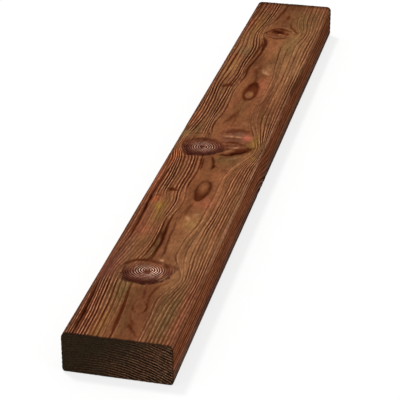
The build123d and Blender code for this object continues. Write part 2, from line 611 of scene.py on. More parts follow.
# Each stain's ragged edge is seeded by its place in this table, so a new one goes at the end.
STAINS = tuple(Stain(*row) for row in (
    (48, 50, 55, 12, BROWN, 0.35), (45, 84, 55, 20, BROWN, 0.6), (45, 8, 50, 9, BROWN, 0.25),
    (130, 82, 40, 16, TAN, 0.22), (195, 78, 60, 18, TAN, 0.28), (170, 55, 30, 8, TAN, 0.25),
    (300, 72, 60, 16, TAN, 0.16), (500, 14, 50, 14, TAN, 0.14), (602, 12, 44, 9, TAN, 0.55),
    (610, 84, 60, 12, TAN, 0.3), (690, 14, 30, 10, TAN, 0.22), (690, 78, 50, 20, TAN, 0.42),
    (800, 50, 70, 11, BROWN, 0.35), (610, 34, 50, 7, BROWN, 0.3), (400, 68, 26, 14, BROWN, 0.3),
    (842, 10, 22, 10, GREY, 0.22), (30, 5, 60, 8, PLUM, 0.5), (35, 15, 50, 9, RED, 0.5),
    (84, 31, 34, 9, OLIVE, 0.8), (20, 30, 25, 6, YELLOW, 0.25), (52, 82, 40, 9, OLIVE, 0.6),
    (110, 8, 35, 9, PLUM, 0.4), (124, 15, 28, 9, PLUM, 0.35), (198, 20, 12, 8, RED, 0.45),
    (196, 30, 12, 4, RED, 0.3), (160, 12, 26, 8, PLUM, 0.3), (215, 8, 60, 8, PLUM, 0.3),
    (263, 14.8, 7, 3, ORANGE, 0.8), (268.5, 11, 6, 3, GREY, 0.6), (249, 21.5, 7, 3, YELLOW, 0.8),
    (235, 26, 18, 4, YELLOW, 0.3), (217, 63, 13, 8, MOSS, 0.6), (165, 40.4, 28, 2.6, OLIVE, 0.6),
    (185, 46.6, 45, 2.6, PLUM, 0.22), (263, 68, 13, 8, PINK, 0.4), (367, 9.5, 18, 4, ORANGE, 0.85),
    (352, 13, 18, 4, RED, 0.5), (375, 92, 6, 3, YELLOW, 0.7), (412, 88, 22, 7, YELLOW, 0.5),
    (366, 62, 14, 12, OLIVE, 0.5), (424, 76, 6.5, 4.4, PINK, 0.9), (415, 62, 20, 14, GREY, 0.22),
    (438, 12, 14, 9, GREEN, 0.6), (425, 5, 14, 6, OLIVE, 0.5), (438, 60, 7, 10, GREY, 0.35),
    (470, 6, 40, 6, RED, 0.4), (540, 66, 40, 9, PINK, 0.12), (580, 60, 16, 6, PINK, 0.3),
    (572, 5, 14, 5, RED, 0.4), (625, 13, 25, 7, YELLOW, 0.3), (628, 62, 16, 7, TAN, 0.5),
    (655, 14, 8, 12, RED, 0.4), (676, 18, 15, 13, GREEN, 0.6), (720, 15, 30, 10, OLIVE, 0.25),
    (780, 6, 14, 4, RED, 0.75), (745, 5, 18, 4, PLUM, 0.5), (762, 20, 40, 8, YELLOW, 0.25),
    (840, 22, 18, 12, RED, 0.4), (700, 76, 34, 12, OLIVE, 0.35), (845, 82, 16, 12, RED, 0.25),
    (845, 94, 14, 5, RED, 0.4), (800, 76, 60, 18, OLIVE, 0.5), (400, 8, 26, 5, TAN, 0.25),
    (734, 56, 9, 13, BROWN, 0.35), (305, 4, 60, 6, RED, 0.4), (402, 88, 40, 7, TAN, 0.25),
    (605, 14, 46, 9, TAN, 0.2), (300, 56, 62, 26, WARM, 0.42), (300, 18, 60, 12, WARM, 0.25),
    (320, 21, 24, 6, GREEN, 0.3), (690, 30, 34, 8, TAN, 0.75), (120, 72, 28, 9, TAN, 0.3),
    (500, 48, 50, 8, BROWN, 0.22), (500, 28, 55, 9, TAN, 0.4), (104, 27, 24, 8, TAN, 0.48),
    (690, 68, 36, 9, MOSS, 0.3), (45, 96, 60, 6, RED, 0.38), (500, 97, 90, 3, PLUM, 0.3),
    (606, 96.6, 36, 2.8, TAN, 0.7), (740, 120, 110, 20, TAN, 0.22), (480, 128, 110, 12, TAN, 0.2),
    (60, 116, 80, 12, WARM, 0.3),
))


# How strongly the growth lines show on the walking face, apart from the spacing that they have there.
STRONGER_ZONES = (
    Zone(0.4, across_borders=((101, 106),)),
    Zone(0.5, ((285, 300), (372, 360)), ((9, 13), (45, 42))),
    Zone(0.3, ((110, 50),), ((22, 10),)),
    Zone(-0.22, ((96, 112), (275, 245)), ((2, 8), (36, 30))),
)
FAINTER_ZONES = (
    Zone(0.5, ((140, 165), (292, 275)), ((12, 15), (36, 33))),
    Zone(0.65, ((92, 108), (165, 145)), ((2, 5), (34, 28))),
    Zone(0.8, ((412, 418), (434, 424)), ((52, 46),)),
)

# The stretch of the right arris where the finish is whole and dark.
DARK_STRETCH = Zone(1.0, ((553, 566), (654, 642)))


@dataclass(frozen=True)
class GrowthFigure:
    """The growth rings of one face, worked out from its given growth lines and knots.

    The lines run from the left edge to the right, and past the outermost ones the rings lie an edge pitch
    apart. The shares say how many of the rings outside the first one the near and the far half show. The
    sways are the lines' slow and quick wavers, which calm down towards the near end.
    """

    lines: tuple[GrowthLine, ...]
    knots: tuple[Knot, ...]
    edge_pitch: float
    seed: int
    near_share: float = 1.0
    far_share: float = 1.0
    share_border: Span = (352, 432)
    slow_sway: float = 0.55
    slow_cell: Span = (30, 9)
    quick_sway: float = 0.22
    quick_cell: Span = (8, 4)
    calm: float = 0.6
    calm_border: Span = (100, 70)
    least_gap: float = 0.02
    slope_step: float = 0.35
    pitch_limits: Span = (0.8, 40)
    outside_share: float = 3.0

    def sway(self, along: Array, across: Array) -> Array:
        """Let the lines waver.

        Args:
            along, across: the places.

        Returns:
            How far they lie to the left at each place.
        """
        slow = Drift(*self.slow_cell, self.seed).at(along, across)
        quick = Drift(*self.quick_cell, self.seed + 1).at(along, across)
        moved = self.slow_sway * slow + self.quick_sway * quick
        return moved * (1 - self.calm * ramp(*self.calm_border, along))

    def rings(self, along: Array, across: Array) -> Array:
        """The ring number at each place.

        Args:
            along, across: the places, in millimetres; across may lie past the face's edges.

        Returns:
            The ring numbers, rising from the plain middle of the face to both of its edges.
        """
        swayed = across + self.sway(along, across)
        stations, index = np.unique(np.round(along, 3), return_inverse=True)
        places = np.array([line.across(stations) for line in self.lines])
        gaps = self.least_gap * np.arange(len(self.lines))[:, None]
        places = np.maximum.accumulate(places + gaps, axis=0)
        numbers = np.array([line.ring for line in self.lines])
        found = np.empty(len(along))
        order = np.argsort(index, kind="stable")
        bounds = np.searchsorted(index[order], np.arange(len(stations) + 1))
        for station in range(len(stations)):
            chosen = order[bounds[station]:bounds[station + 1]]
            at, row = swayed[chosen], places[:, station]
            past_edges = np.maximum(row[0] - at, 0) + np.maximum(at - row[-1], 0)
            found[chosen] = np.interp(at, row, numbers) + past_edges / self.edge_pitch
        shown = self.near_share + (self.far_share - self.near_share) * ramp(*self.share_border, along)
        return np.where(found > 1, 1 + (found - 1) * shown, found)

    def pitch(self, along: Array, across: Array) -> Array:
        """Measure the rings.

        Args:
            along, across: the places.

        Returns:
            How far apart they lie at each place.
        """
        step = self.slope_step
        slope = (self.rings(along, across + step) - self.rings(along, across - step)) / (2 * step)
        least, most = self.pitch_limits
        return np.clip(1 / np.maximum(np.abs(slope), 0.5 / most), least, most)

    def knot_wood(self, along: Array, across: Array) -> Fields:
        """What the knots are at each place.

        Args:
            along, across: the places, in millimetres.

        Returns:
            The share of the way to the nearest rim, the knot's own ring number, its core and its shade.
        """
        share = np.full(len(along), self.outside_share)
        ring, core, shade = np.zeros(len(along)), np.zeros(len(along)), np.zeros(len(along))
        for knot in self.knots:
            mine = knot.share(along, across)
            nearer = mine < share
            share = np.where(nearer, mine, share)
            ring = np.where(nearer, knot.rings(along, across), ring)
            core = np.where(nearer, knot.lit(along, across), core)
            shade = np.where(nearer, knot.shade * (1 + knot.lean * knot.near(along, across)), shade)
        return {"knot_share": share, "knot_ring": ring, "knot_core": core, "knot_shade": shade}


@dataclass(frozen=True)
class Handwork:
    """What the listed marks, eyes and stretches of bold lines do to the walking face.

    The swings are how far the marks waver. A mark swells from its tips, where its width and depth are the
    first value of their span, by the second.
    """

    middle: float = 54.0
    along_swing: Drift = Drift(7, 4, 72, 0.9)
    across_swing: Drift = Drift(9, 4, 73, 0.45)
    eye_swing_share: float = 0.5
    width_change: Drift = Drift(8, 5, 71, 0.25, 1.0)
    width_swell: Span = (0.45, 0.75)
    depth_swell: Span = (0.35, 0.65)
    tip_shares: Span = (0.04, 0.96)
    margin_in_widths: float = 4.0
    left_border: Span = (60, 48)
    strength_base: Drift = Drift(45, 9, 51, 0.2, 0.74)
    strength_on_left: float = 0.34
    wide_border: Span = (2.9, 4.5)
    wide_loss: float = 0.42
    narrow_border: Span = (1.9, 2.9)
    narrow_loss: float = 0.3
    far_border: Span = (380, 460)
    far_gain: float = 0.14
    far_gain_on_left: float = 0.22
    first_ring_border: Span = (0.4, 1.6)
    bold_share: float = 0.5
    bold_fade: float = 8.0
    strength_limits: Span = (0.05, 1.5)

    def mark_depth(self, along: Array, across: Array) -> Array:
        """Draw the marks and the eyes.

        Args:
            along, across: the places.

        Returns:
            How dark, above zero, or pale, below zero, each place gets.
        """
        depth = np.zeros(len(along))
        forward, sideways = self.along_swing.at(along, across), self.across_swing.at(along, across)
        for mark in MARKS:
            path = mark.curve()
            margin = self.margin_in_widths * mark.width + 1
            low, high = path.min(axis=0) - margin, path.max(axis=0) + margin
            inside = (along > low[0]) & (along < high[0]) & (across > low[1]) & (across < high[1])
            near = np.flatnonzero(inside)
            if len(near):
                swung = along[near] + forward[near], across[near] + sideways[near]
                depth[near] += self.stroke(mark, path, *swung)
        for eye in EYES:
            share = self.eye_swing_share
            depth += eye.depth(along + share * forward, across + share * sideways)
        return depth

    def stroke(self, mark: Mark, path: Array, along: Array, across: Array) -> Array:
        """How dark or pale one mark makes each place: thin and faint at its tips.

        Args:
            mark: the mark.
            path: the points of its curve.
            along, across: the places.

        Returns:
            The depth at each place.
        """
        nearest, where = np.full(len(along), np.inf), np.zeros(len(along))
        for number, ((x0, v0), (x1, v1)) in enumerate(zip(path, path[1:])):
            run = np.array([x1 - x0, v1 - v0])
            share = np.clip(((along - x0) * run[0] + (across - v0) * run[1]) / (run @ run), 0, 1)
            away = np.hypot(along - x0 - share * run[0], across - v0 - share * run[1])
            where = np.where(away < nearest, (number + share) / (len(path) - 1), where)
            nearest = np.minimum(nearest, away)
        swell = np.sqrt(np.clip(np.sin(math.pi * np.clip(where, *self.tip_shares)), 0, 1))
        tip_width, more_width = self.width_swell
        tip_depth, more_depth = self.depth_swell
        width = mark.width * (tip_width + more_width * swell) * self.width_change.at(along, across)
        return mark.depth * (tip_depth + more_depth * swell) * bell(nearest / width)

    def line_strength(self, ring: Array, pitch: Array, along: Array, across: Array) -> Array:
        """How strongly the growth lines show at each place of the walking face.

        Args:
            ring, pitch: the ring number and the rings' pitch at each place.
            along, across: the places.

        Returns:
            The strength, from almost nothing up.
        """
        left = ramp(*self.left_border, across)
        strength = self.strength_base.at(along, across) + self.strength_on_left * left
        strength *= 1 - self.wide_loss * ramp(*self.wide_border, pitch)
        strength *= 1 - self.narrow_loss * (1 - ramp(*self.narrow_border, pitch))
        far = ramp(*self.far_border, along) * ramp(*self.first_ring_border, ring)
        strength += (self.far_gain + self.far_gain_on_left * left) * far
        for zone in STRONGER_ZONES:
            strength += zone.effect(along, across)
        for zone in FAINTER_ZONES:
            strength *= 1 - zone.effect(along, across)
        half = np.where(across < self.middle, Half.LEFT.value, Half.RIGHT.value)
        for bold in BOLD_LINES:
            near = bell((ring - bold.ring) / bold.reach) * (half == bold.half.value)
            run = ramp(bold.start - self.bold_fade, bold.start + self.bold_fade, along)
            run = run * ramp(bold.end + self.bold_fade, bold.end - self.bold_fade, along)
            strength += self.bold_share * bold.strength * near * run
        return np.clip(strength, *self.strength_limits)


@dataclass(frozen=True)
class Noise:
    """Random values: how often they change over each metre along X, Y and Z, and how finely.

    They lie from 0 to 1. An edge then smooths them, and shares are what 0 and 1 are at last turned into.
    """

    changes: tuple[float, float, float]
    detail: float = 2.0
    roughness: float = 0.5
    edge: Span | None = None
    shares: Span | None = None


class Graph:
    """Wires one node tree: each call makes a node, sets its plain inputs and links the others."""

    def __init__(self, tree: bpy.types.NodeTree) -> None:
        """Start on a tree."""
        self.tree = tree

    def add(self, kind: str, inputs: dict | None = None, **settings: Any) -> bpy.types.Node:
        """Make a node.

        Args:
            kind: the node's type.
            inputs: for each input's name or number, a value or the socket that feeds it.
            settings: the node's own properties.

        Returns:
            The node.
        """
        node = self.tree.nodes.new(kind)
        for name, value in settings.items():
            setattr(node, name, value)
        for key, value in (inputs or {}).items():
            self.feed(node.inputs[key], value)
        return node

    def result(self, kind: str, inputs: dict | None = None, **settings: Any) -> Socket:
        """Make a node and give its first output."""
        return self.add(kind, inputs, **settings).outputs[0]

    def feed(self, socket: Socket, value: Any) -> None:
        """Link a socket to the one that feeds it, or set its plain value.

        Args:
            socket, value: the socket, and what it gets.
        """
        if isinstance(value, bpy.types.NodeSocket):
            self.tree.links.new(value, socket)
        else:
            socket.default_value = value

    def math(self, operation: str, *values: Any, clamp: bool = False) -> Socket:
        """Work out one number from up to three."""
        return self.result("ShaderNodeMath", dict(enumerate(values)), operation=operation, use_clamp=clamp)

    def times(self, *values: Any, clamp: bool = False) -> Socket:
        """Multiply two or more numbers."""
        return reduce(lambda one, other: self.math("MULTIPLY", one, other, clamp=clamp), values)

    def plus(self, *values: Any) -> Socket:
        """Add up two or more numbers."""
        return reduce(lambda one, other: self.math("ADD", one, other), values)

    def vector(self, operation: str, *values: Any) -> Socket:
        """Work out one vector from up to three."""
        return self.result("ShaderNodeVectorMath", dict(enumerate(values)), operation=operation)

    def along_axes(self, x: Any = 0.0, y: Any = 0.0, z: Any = 0.0) -> Socket:
        """Make a vector of up to three numbers."""
        return self.result("ShaderNodeCombineXYZ", {0: x, 1: y, 2: z})

    def smooth(self, value: Any, low: Any, high: Any) -> Socket:
        """Rise smoothly from 0 where value is low to 1 where it is high."""
        inputs = {"Value": value, "From Min": low, "From Max": high}
        return self.result("ShaderNodeMapRange", inputs, interpolation_type="SMOOTHSTEP")

    def rescale(self, value: Any, low: float, high: float) -> Socket:
        """Turn a value from 0 to 1 into one from low to high."""
        return self.result("ShaderNodeMapRange", {"Value": value, "To Min": low, "To Max": high})

    def mix(self, share: Any, first: Any, second: Any) -> Socket:
        """Blend two colours.

        Args:
            share: how much of the second shows.
            first, second: the colours.

        Returns:
            The blend.
        """
        node = self.add("ShaderNodeMix", data_type="RGBA", blend_type="MIX")
        for name, value in (("Factor_Float", share), ("A_Color", first), ("B_Color", second)):
            self.feed(next(s for s in node.inputs if s.identifier == name), value)
        return next(s for s in node.outputs if s.identifier == "Result_Color")

    def noise(self, place: Any, kind: Noise) -> Socket:
        """Draw random values.

        Args:
            place, kind: where, and which noise.

        Returns:
            The values.
        """
        scaled = self.vector("MULTIPLY", place, kind.changes)
        inputs = {"Vector": scaled, "Scale": 1.0, "Detail": kind.detail, "Roughness": kind.roughness}
        value = self.result("ShaderNodeTexNoise", inputs)
        value = self.smooth(value, *kind.edge) if kind.edge else value
        return self.rescale(value, *kind.shares) if kind.shares else value

    def attribute(self, name: str, output: str = "Fac") -> Socket:
        """Read what the mesh keeps under a name."""
        return self.add("ShaderNodeAttribute", attribute_name=name).outputs[output]

    def place(self) -> Socket:
        """The place on the object, in its own coordinates."""
        return self.add("ShaderNodeTexCoord").outputs["Object"]

    def axis(self, place: Any, name: str) -> Socket:
        """One of a place's X, Y and Z."""
        return self.add("ShaderNodeSeparateXYZ", {0: place}).outputs[name]

    def surface(self, tint: Any, roughness: Any, height: Any, depth: float, strength: float,
                specular: float) -> None:
        """End a material in a matt surface with fine relief.

        Args:
            tint, roughness, height: what feeds the surface's colour, roughness and relief.
            depth: how far the relief goes, in metres.
            strength: how strongly the relief shows.
            specular: the level of its plain reflection.
        """
        bump = self.result("ShaderNodeBump", {"Height": height, "Distance": depth, "Strength": strength})
        shader = self.result("ShaderNodeBsdfPrincipled", {
            "Base Color": tint, "Roughness": roughness, "Normal": bump, "Specular IOR Level": specular})
        self.add("ShaderNodeOutputMaterial", {"Surface": shader})


def new_group(name: str, kind: str, takes: dict[str, tuple[str, Any]], gives: dict[str, str]) -> tuple:
    """Start a node group.

    Args:
        name: the group's name.
        kind: the type of its tree.
        takes: for each input's name, its socket type and its value to start from.
        gives: for each output's name, its socket type.

    Returns:
        The tree, its graph, the node that holds its inputs and the one that takes its outputs.
    """
    tree = bpy.data.node_groups.new(name, kind)
    for label, (socket, start) in takes.items():
        made = tree.interface.new_socket(label, in_out="INPUT", socket_type=socket)
        if start is not None:
            made.default_value = start
    for label, socket in gives.items():
        tree.interface.new_socket(label, in_out="OUTPUT", socket_type=socket)
    graph = Graph(tree)
    return tree, graph, graph.add("NodeGroupInput"), graph.add("NodeGroupOutput")


def new_material(name: str) -> tuple[bpy.types.Material, Graph]:
    """Start a material.

    Args:
        name: the material's name.

    Returns:
        The material and its empty graph.
    """
    made = bpy.data.materials.new(name)
    made.use_nodes = True
    made.node_tree.nodes.clear()
    return made, Graph(made.node_tree)


FLOAT, VECTOR = "NodeSocketFloat", "NodeSocketVector"


@dataclass(frozen=True)
class GrowthLines:
    """The node group that draws growth lines from a ring number: dark latewood, then pale early wood whose
    border is partly a painted highlight, brighter on one side of each line.

    A line's width, soft shadow and pale border are limited by the pitch of the rings.
    """

    fray: Noise = Noise((70, 800, 800), 3.0)
    fade: Noise = Noise((14, 90, 90), edge=(0.32, 0.62), shares=(0.55, 1.1))
    ring_shares: Span = (0.5, 1.2)
    width_by_weight: float = 0.75
    least_width: float = 0.4
    widest_share: float = 0.3
    core_edge: Span = (1.6, 0.1)
    soft_share: float = 0.52
    soft_limit: float = 3.2
    soft_depth: float = 0.72
    # The pale border, partly a painted highlight that is brighter on one side of each line.
    pale_highlight_edge: Span = (0.9, 1.65)
    pale_highlight_end: float = 1.0
    lit_side_edge: Span = (-0.3, 0.3)
    lit_side_shares: Span = (0.6, 1.0)
    darkest: float = 1.25

    def tree(self) -> bpy.types.NodeTree:
        """Build the group.

        Returns:
            The group.
        """
        takes = {
            "Place": (VECTOR, None), "Ring": (FLOAT, 0.0), "Pitch": (FLOAT, 3.0), "Strength": (FLOAT, 0.5),
            "Width": (FLOAT, 0.8), "Fray": (FLOAT, 0.5), "Pale Reach": (FLOAT, 2.4),
        }
        gives = {"Dark": FLOAT, "Pale": FLOAT, "Season": FLOAT}
        tree, g, start, end = new_group("growth_lines", "ShaderNodeTree", takes, gives)
        place, ring, pitch = (start.outputs[name] for name in ("Place", "Ring", "Pitch"))
        fray = g.times(g.math("SUBTRACT", g.noise(place, self.fray), 0.5), start.outputs["Fray"])
        number = g.math("ROUND", ring)
        offset = g.math("MULTIPLY_ADD", g.math("SUBTRACT", ring, number), pitch, fray)
        away = g.math("ABSOLUTE", offset)
        own = g.add("ShaderNodeTexWhiteNoise", {"W": number}, noise_dimensions="1D").outputs["Value"]
        own_share = g.rescale(own, *self.ring_shares)
        weight = g.times(start.outputs["Strength"], own_share, g.noise(place, self.fade))
        swell = g.math("MULTIPLY_ADD", weight, self.width_by_weight, self.least_width)
        width = g.math("MINIMUM", g.times(start.outputs["Width"], swell), g.times(pitch, self.widest_share))
        core = g.smooth(away, *(g.times(width, share) for share in self.core_edge))
        soft_reach = g.math("MINIMUM", g.times(pitch, self.soft_share), self.soft_limit)
        soft = g.times(g.smooth(away, soft_reach, 0.0), self.soft_depth)
        dark = g.times(g.math("MAXIMUM", core, soft), weight)
        # Pale early wood beside each line, partly a painted highlight, brighter on the line's lit side.
        rise = g.smooth(away, *(g.times(width, share) for share in self.pale_highlight_edge))
        fall = g.smooth(away, start.outputs["Pale Reach"], self.pale_highlight_end)
        lean = g.rescale(g.smooth(offset, *self.lit_side_edge), *self.lit_side_shares)
        pale = g.times(rise, fall, g.times(g.math("MINIMUM", weight, 1.0), lean))
        g.feed(end.inputs["Dark"], g.math("MINIMUM", dark, self.darkest))
        g.feed(end.inputs["Pale"], pale)
        g.feed(end.inputs["Season"], own)
        return tree


@dataclass(frozen=True)
class WoodFibre:
    """The node group for what lies in the wood at every size: fibres, pores and slow patches.

    Streaks and dashes run along the growth lines, so their noises take the ring number in place of Y.
    """

    fibre: Noise = Noise((45, 1500, 1500), 4.0, 0.6)
    streak: Noise = Noise((11, 1.1, 1), 3.0, 0.55)
    dash: Noise = Noise((150, 1.6, 350), 2.0, 0.6, (0.34, 0.66))
    pores: Noise = Noise((150, 2600, 2600), edge=(0.62, 0.72))
    patch: Noise = Noise((9, 34, 34), 3.0, 0.55, (0.32, 0.68))
    blush: Noise = Noise((13, 60, 60), 3.0, 0.6, (0.4, 0.7))
    blush_shift: tuple[float, float, float] = (3.7, 1.3, 2.1)

    def tree(self) -> bpy.types.NodeTree:
        """Build the group.

        Returns:
            The group.
        """
        takes = {"Place": (VECTOR, None), "Length": (FLOAT, 1.0), "Ring": (FLOAT, 0.0)}
        names = ("Fibre", "Streak", "Dash", "Pores", "Patch", "Blush")
        tree, g, start, end = new_group("wood_fibre", "ShaderNodeTree", takes, dict.fromkeys(names, FLOAT))
        place = g.vector("MULTIPLY", start.outputs["Place"], g.along_axes(start.outputs["Length"], 1.0, 1.0))
        flow = g.along_axes(g.axis(place, "X"), start.outputs["Ring"], g.axis(place, "Y"))
        shifted = g.vector("ADD", place, self.blush_shift)
        drawn = {
            "Fibre": (place, self.fibre), "Streak": (flow, self.streak), "Dash": (flow, self.dash),
            "Pores": (place, self.pores), "Patch": (place, self.patch), "Blush": (shifted, self.blush)}
        for name, (where, kind) in drawn.items():
            g.feed(end.inputs[name], g.noise(where, kind))
        return tree


@dataclass(frozen=True)
class PlanedFinish:
    """The stained finish of the board's planed faces and edges.

    Edges run from nil to whole. Shares and tones are what a value from 0 to 1 is turned into.
    """

    # Pale early wood, also the painted highlight beside the growth lines, and the pale marks.
    pale: Tint = colour(208, 152, 112)
    body: Tint = colour(126, 78, 49)
    warm: Tint = colour(134, 76, 51)
    olive: Tint = colour(116, 83, 50)
    line: Tint = colour(86, 40, 22)
    stroke: Tint = colour(84, 39, 19)
    deep: Tint = colour(52, 20, 12)
    side: Tint = colour(147, 80, 50)
    foot: Tint = colour(134, 98, 86)
    knot: Tint = colour(108, 60, 44)
    knot_rim: Tint = colour(64, 30, 25)
    knot_core: Tint = colour(250, 208, 184)
    knot_band: Tint = colour(164, 102, 76)
    # Bare wood along the right arris, which also gives the painted highlight there.
    bare_and_highlight: Tint = colour(190, 134, 106)
    end_dirt: Tint = colour(40, 28, 22)

    line_width: float = 1.15
    patch_share: float = 0.55
    blush_share: float = 0.6
    foot_edge: Span = (21 * MM, 6 * MM)
    ridge_highlight_shares: Span = (0.55, 1.25)
    line_edge: Span = (-0.1, 1.0)
    deep_line_edge: Span = (1.0, 1.5)
    pore_share: float = 0.3

    knot_waver: Noise = Noise((90, 90, 90), 4.0, 0.6, shares=(-0.6, 0.6))
    knot_grit: Noise = Noise((380, 380, 380))
    knot_blotch: Noise = Noise((70, 90, 90), 3.0, edge=(0.36, 0.6))
    crest_edge: Span = (0.15, 0.9)
    trough_edge: Span = (0.1, -0.8)
    trough_reach: Span = (1.0, 0.3)
    trough_share: float = 0.92
    heart_outer_edge: Span = (0.7, 0.45)
    heart_inner_edge: Span = (0.08, 0.26)
    dim_edge: Span = (0.5, 1.25)
    rim_shade_edge: Span = (0.4, 0.85)
    band_blotch_shares: Span = (0.25, 1.0)
    band_dim_shares: Span = (1.0, 0.2)
    grit_edge: Span = (0.34, 0.6)
    grit_shares: Span = (0.3, 1.0)
    pith_edge: Span = (0.16, 0.08)
    pith_share: float = 0.8
    far_out_edge: Span = (0.45, 0.8)
    darkest_edge: Span = (1.0, 2.0)
    rim_grit_shares: Span = (-0.09, 0.09)
    rim_blotch_shares: Span = (-0.04, 0.04)
    knot_edge: Span = (1.1, 0.86)
    rim_middle: float = 0.96
    rim_half_width: float = 0.09
    rim_shares: Span = (0.8, 0.2)

    mark_streak_shares: Span = (-0.12, 0.12)
    deep_mark_edge: Span = (1.0, 1.6)
    pale_mark_edge: Span = (-0.02, -1.1)
    wear_highlight_dash: Noise = Noise((330, 400, 400), edge=(0.36, 0.62), shares=(0.35, 1.0))

    fibre_tones: Span = (0.6, 1.4)
    streak_edge: Span = (0.3, 0.7)
    streak_tones: Span = (0.72, 1.28)
    season_tones: Span = (0.9, 1.1)
    dash_tones: Span = (0.86, 1.14)
    creep: Noise = Noise((120, 160, 160), 3.0, shares=(-1.4, 1.4))
    creep_edge: Span = (2.6, 0.4)
    creep_share: float = 0.85

    roughness: Span = (0.95, 0.75)
    fibre_heights: Span = (-0.3, 0.3)
    ring_height: float = 0.3
    mark_height: float = -0.3
    relief_depth: float = 0.7 * MM
    relief_strength: float = 1.0
    specular: float = 0.0

    def material(self, groups: Groups) -> bpy.types.Material:
        """Build the material.

        Args:
            groups: the shared node groups by name.

        Returns:
            The material.
        """
        made, g = new_material("planed_face")
        place, mark = g.place(), g.attribute("mark")
        ring = g.attribute("ring")
        lines = g.add("ShaderNodeGroup", {
            "Place": place, "Ring": ring, "Pitch": g.attribute("ring_pitch"),
            "Strength": g.attribute("line_strength"), "Width": self.line_width},
            node_tree=groups["growth_lines"]).outputs
        inputs = {"Place": place, "Ring": ring}
        fibre = g.add("ShaderNodeGroup", inputs, node_tree=groups["wood_fibre"]).outputs

        wood = self.stained(g, place, lines, fibre)
        wood, inside, wave = self.knotted(g, place, wood)
        wood = self.marked(g, place, wood, mark, fibre["Fibre"])
        wood = self.toned(g, wood, lines["Season"], fibre)
        dirt = g.smooth(g.plus(g.attribute("end_gap"), g.noise(place, self.creep)), *self.creep_edge)
        wood = g.mix(g.times(dirt, self.creep_share), wood, self.end_dirt)

        ridges = g.rescale(fibre["Fibre"], *self.fibre_heights)
        height = g.math("MULTIPLY_ADD", lines["Dark"], -1.0, ridges)
        height = g.math("MULTIPLY_ADD", g.times(inside, wave), self.ring_height, height)
        height = g.math("MULTIPLY_ADD", g.math("MAXIMUM", mark, 0.0), self.mark_height, height)
        roughness = g.rescale(fibre["Fibre"], *self.roughness)
        g.surface(wood, roughness, height, self.relief_depth, self.relief_strength, self.specular)
        return made

    def stained(self, g: Graph, place: Socket, lines: Any, fibre: Any) -> Socket:
        """The stained wood with its patches of colour and its growth lines.

        Args:
            g, place: the material's graph and the place on the board.
            lines, fibre: the outputs of the two shared groups.

        Returns:
            The wood's colour.
        """
        side = g.attribute("side")
        wood = g.mix(g.times(fibre["Patch"], self.patch_share), self.body, self.olive)
        wood = g.mix(g.times(fibre["Blush"], self.blush_share), wood, self.warm)
        wood = g.mix(side, wood, self.side)
        wood = g.mix(g.times(side, g.smooth(g.axis(place, "Z"), *self.foot_edge)), wood, self.foot)
        wood = g.mix(g.attribute("stain", "Alpha"), wood, g.attribute("stain", "Color"))
        # Pale early wood and a painted highlight beside each growth line.
        ridges = g.times(lines["Pale"], g.rescale(fibre["Dash"], *self.ridge_highlight_shares), clamp=True)
        wood = g.mix(ridges, wood, self.pale)
        wood = g.mix(g.smooth(lines["Dark"], *self.line_edge), wood, self.line)
        return g.mix(g.smooth(lines["Dark"], *self.deep_line_edge), wood, self.deep)

    def knotted(self, g: Graph, place: Socket, wood: Socket) -> tuple[Socket, Socket, Socket]:
        """The wood with the knots in it: a ringed body, a pale core, a dark pith and a dark ragged rim.

        Args:
            g, place: the material's graph and the place on the board.
            wood: the colour of the wood round the knots.

        Returns:
            The wood's colour, how far each place is inside a knot, and the wave of the knot's rings.
        """
        share, core, shade = (g.attribute(name) for name in ("knot_share", "knot_core", "knot_shade"))
        own_ring = g.plus(g.attribute("knot_ring"), g.noise(place, self.knot_waver))
        wave = g.math("SINE", g.times(own_ring, 2 * math.pi))
        crest = g.smooth(wave, *self.crest_edge)
        troughs = g.times(g.smooth(wave, *self.trough_edge), g.smooth(share, *self.trough_reach))
        grit = g.noise(place, self.knot_grit)
        blotch = g.noise(place, self.knot_blotch)
        heart = g.times(g.smooth(share, *self.heart_outer_edge), g.smooth(share, *self.heart_inner_edge))
        heart = g.times(heart, core, clamp=True)
        dim = g.smooth(shade, *self.dim_edge)

        knot = g.mix(g.times(g.smooth(share, *self.rim_shade_edge), dim), self.knot, self.knot_rim)
        knot = g.mix(g.times(troughs, self.trough_share), knot, self.knot_rim)
        knot = g.mix(g.times(troughs, heart), knot, self.deep)
        thinned = g.rescale(g.times(dim, share), *self.band_dim_shares)
        banded = g.times(g.rescale(blotch, *self.band_blotch_shares), thinned)
        knot = g.mix(g.times(crest, banded), knot, self.knot_band)
        bright = g.times(crest, g.rescale(g.smooth(grit, *self.grit_edge), *self.grit_shares))
        knot = g.mix(g.times(heart, bright), knot, self.knot_core)
        pith = g.mix(g.times(dim, self.pith_share), self.knot, self.knot_rim)
        knot = g.mix(g.smooth(share, *self.pith_edge), knot, pith)
        darkest = g.times(g.smooth(shade, *self.darkest_edge), g.smooth(share, *self.far_out_edge))
        knot = g.mix(darkest, knot, self.deep)

        ragged = g.plus(share, g.rescale(grit, *self.rim_grit_shares))
        ragged = g.plus(ragged, g.rescale(blotch, *self.rim_blotch_shares))
        solid = g.math("MINIMUM", g.math("MAXIMUM", shade, heart), 1.0)
        inside = g.times(g.smooth(ragged, *self.knot_edge), solid)
        away = g.math("ABSOLUTE", g.math("SUBTRACT", ragged, self.rim_middle))
        rim = g.times(g.smooth(away, self.rim_half_width, 0.0), g.rescale(blotch, *self.rim_shares))
        return g.mix(g.times(rim, solid), g.mix(inside, wood, knot), self.deep), inside, wave

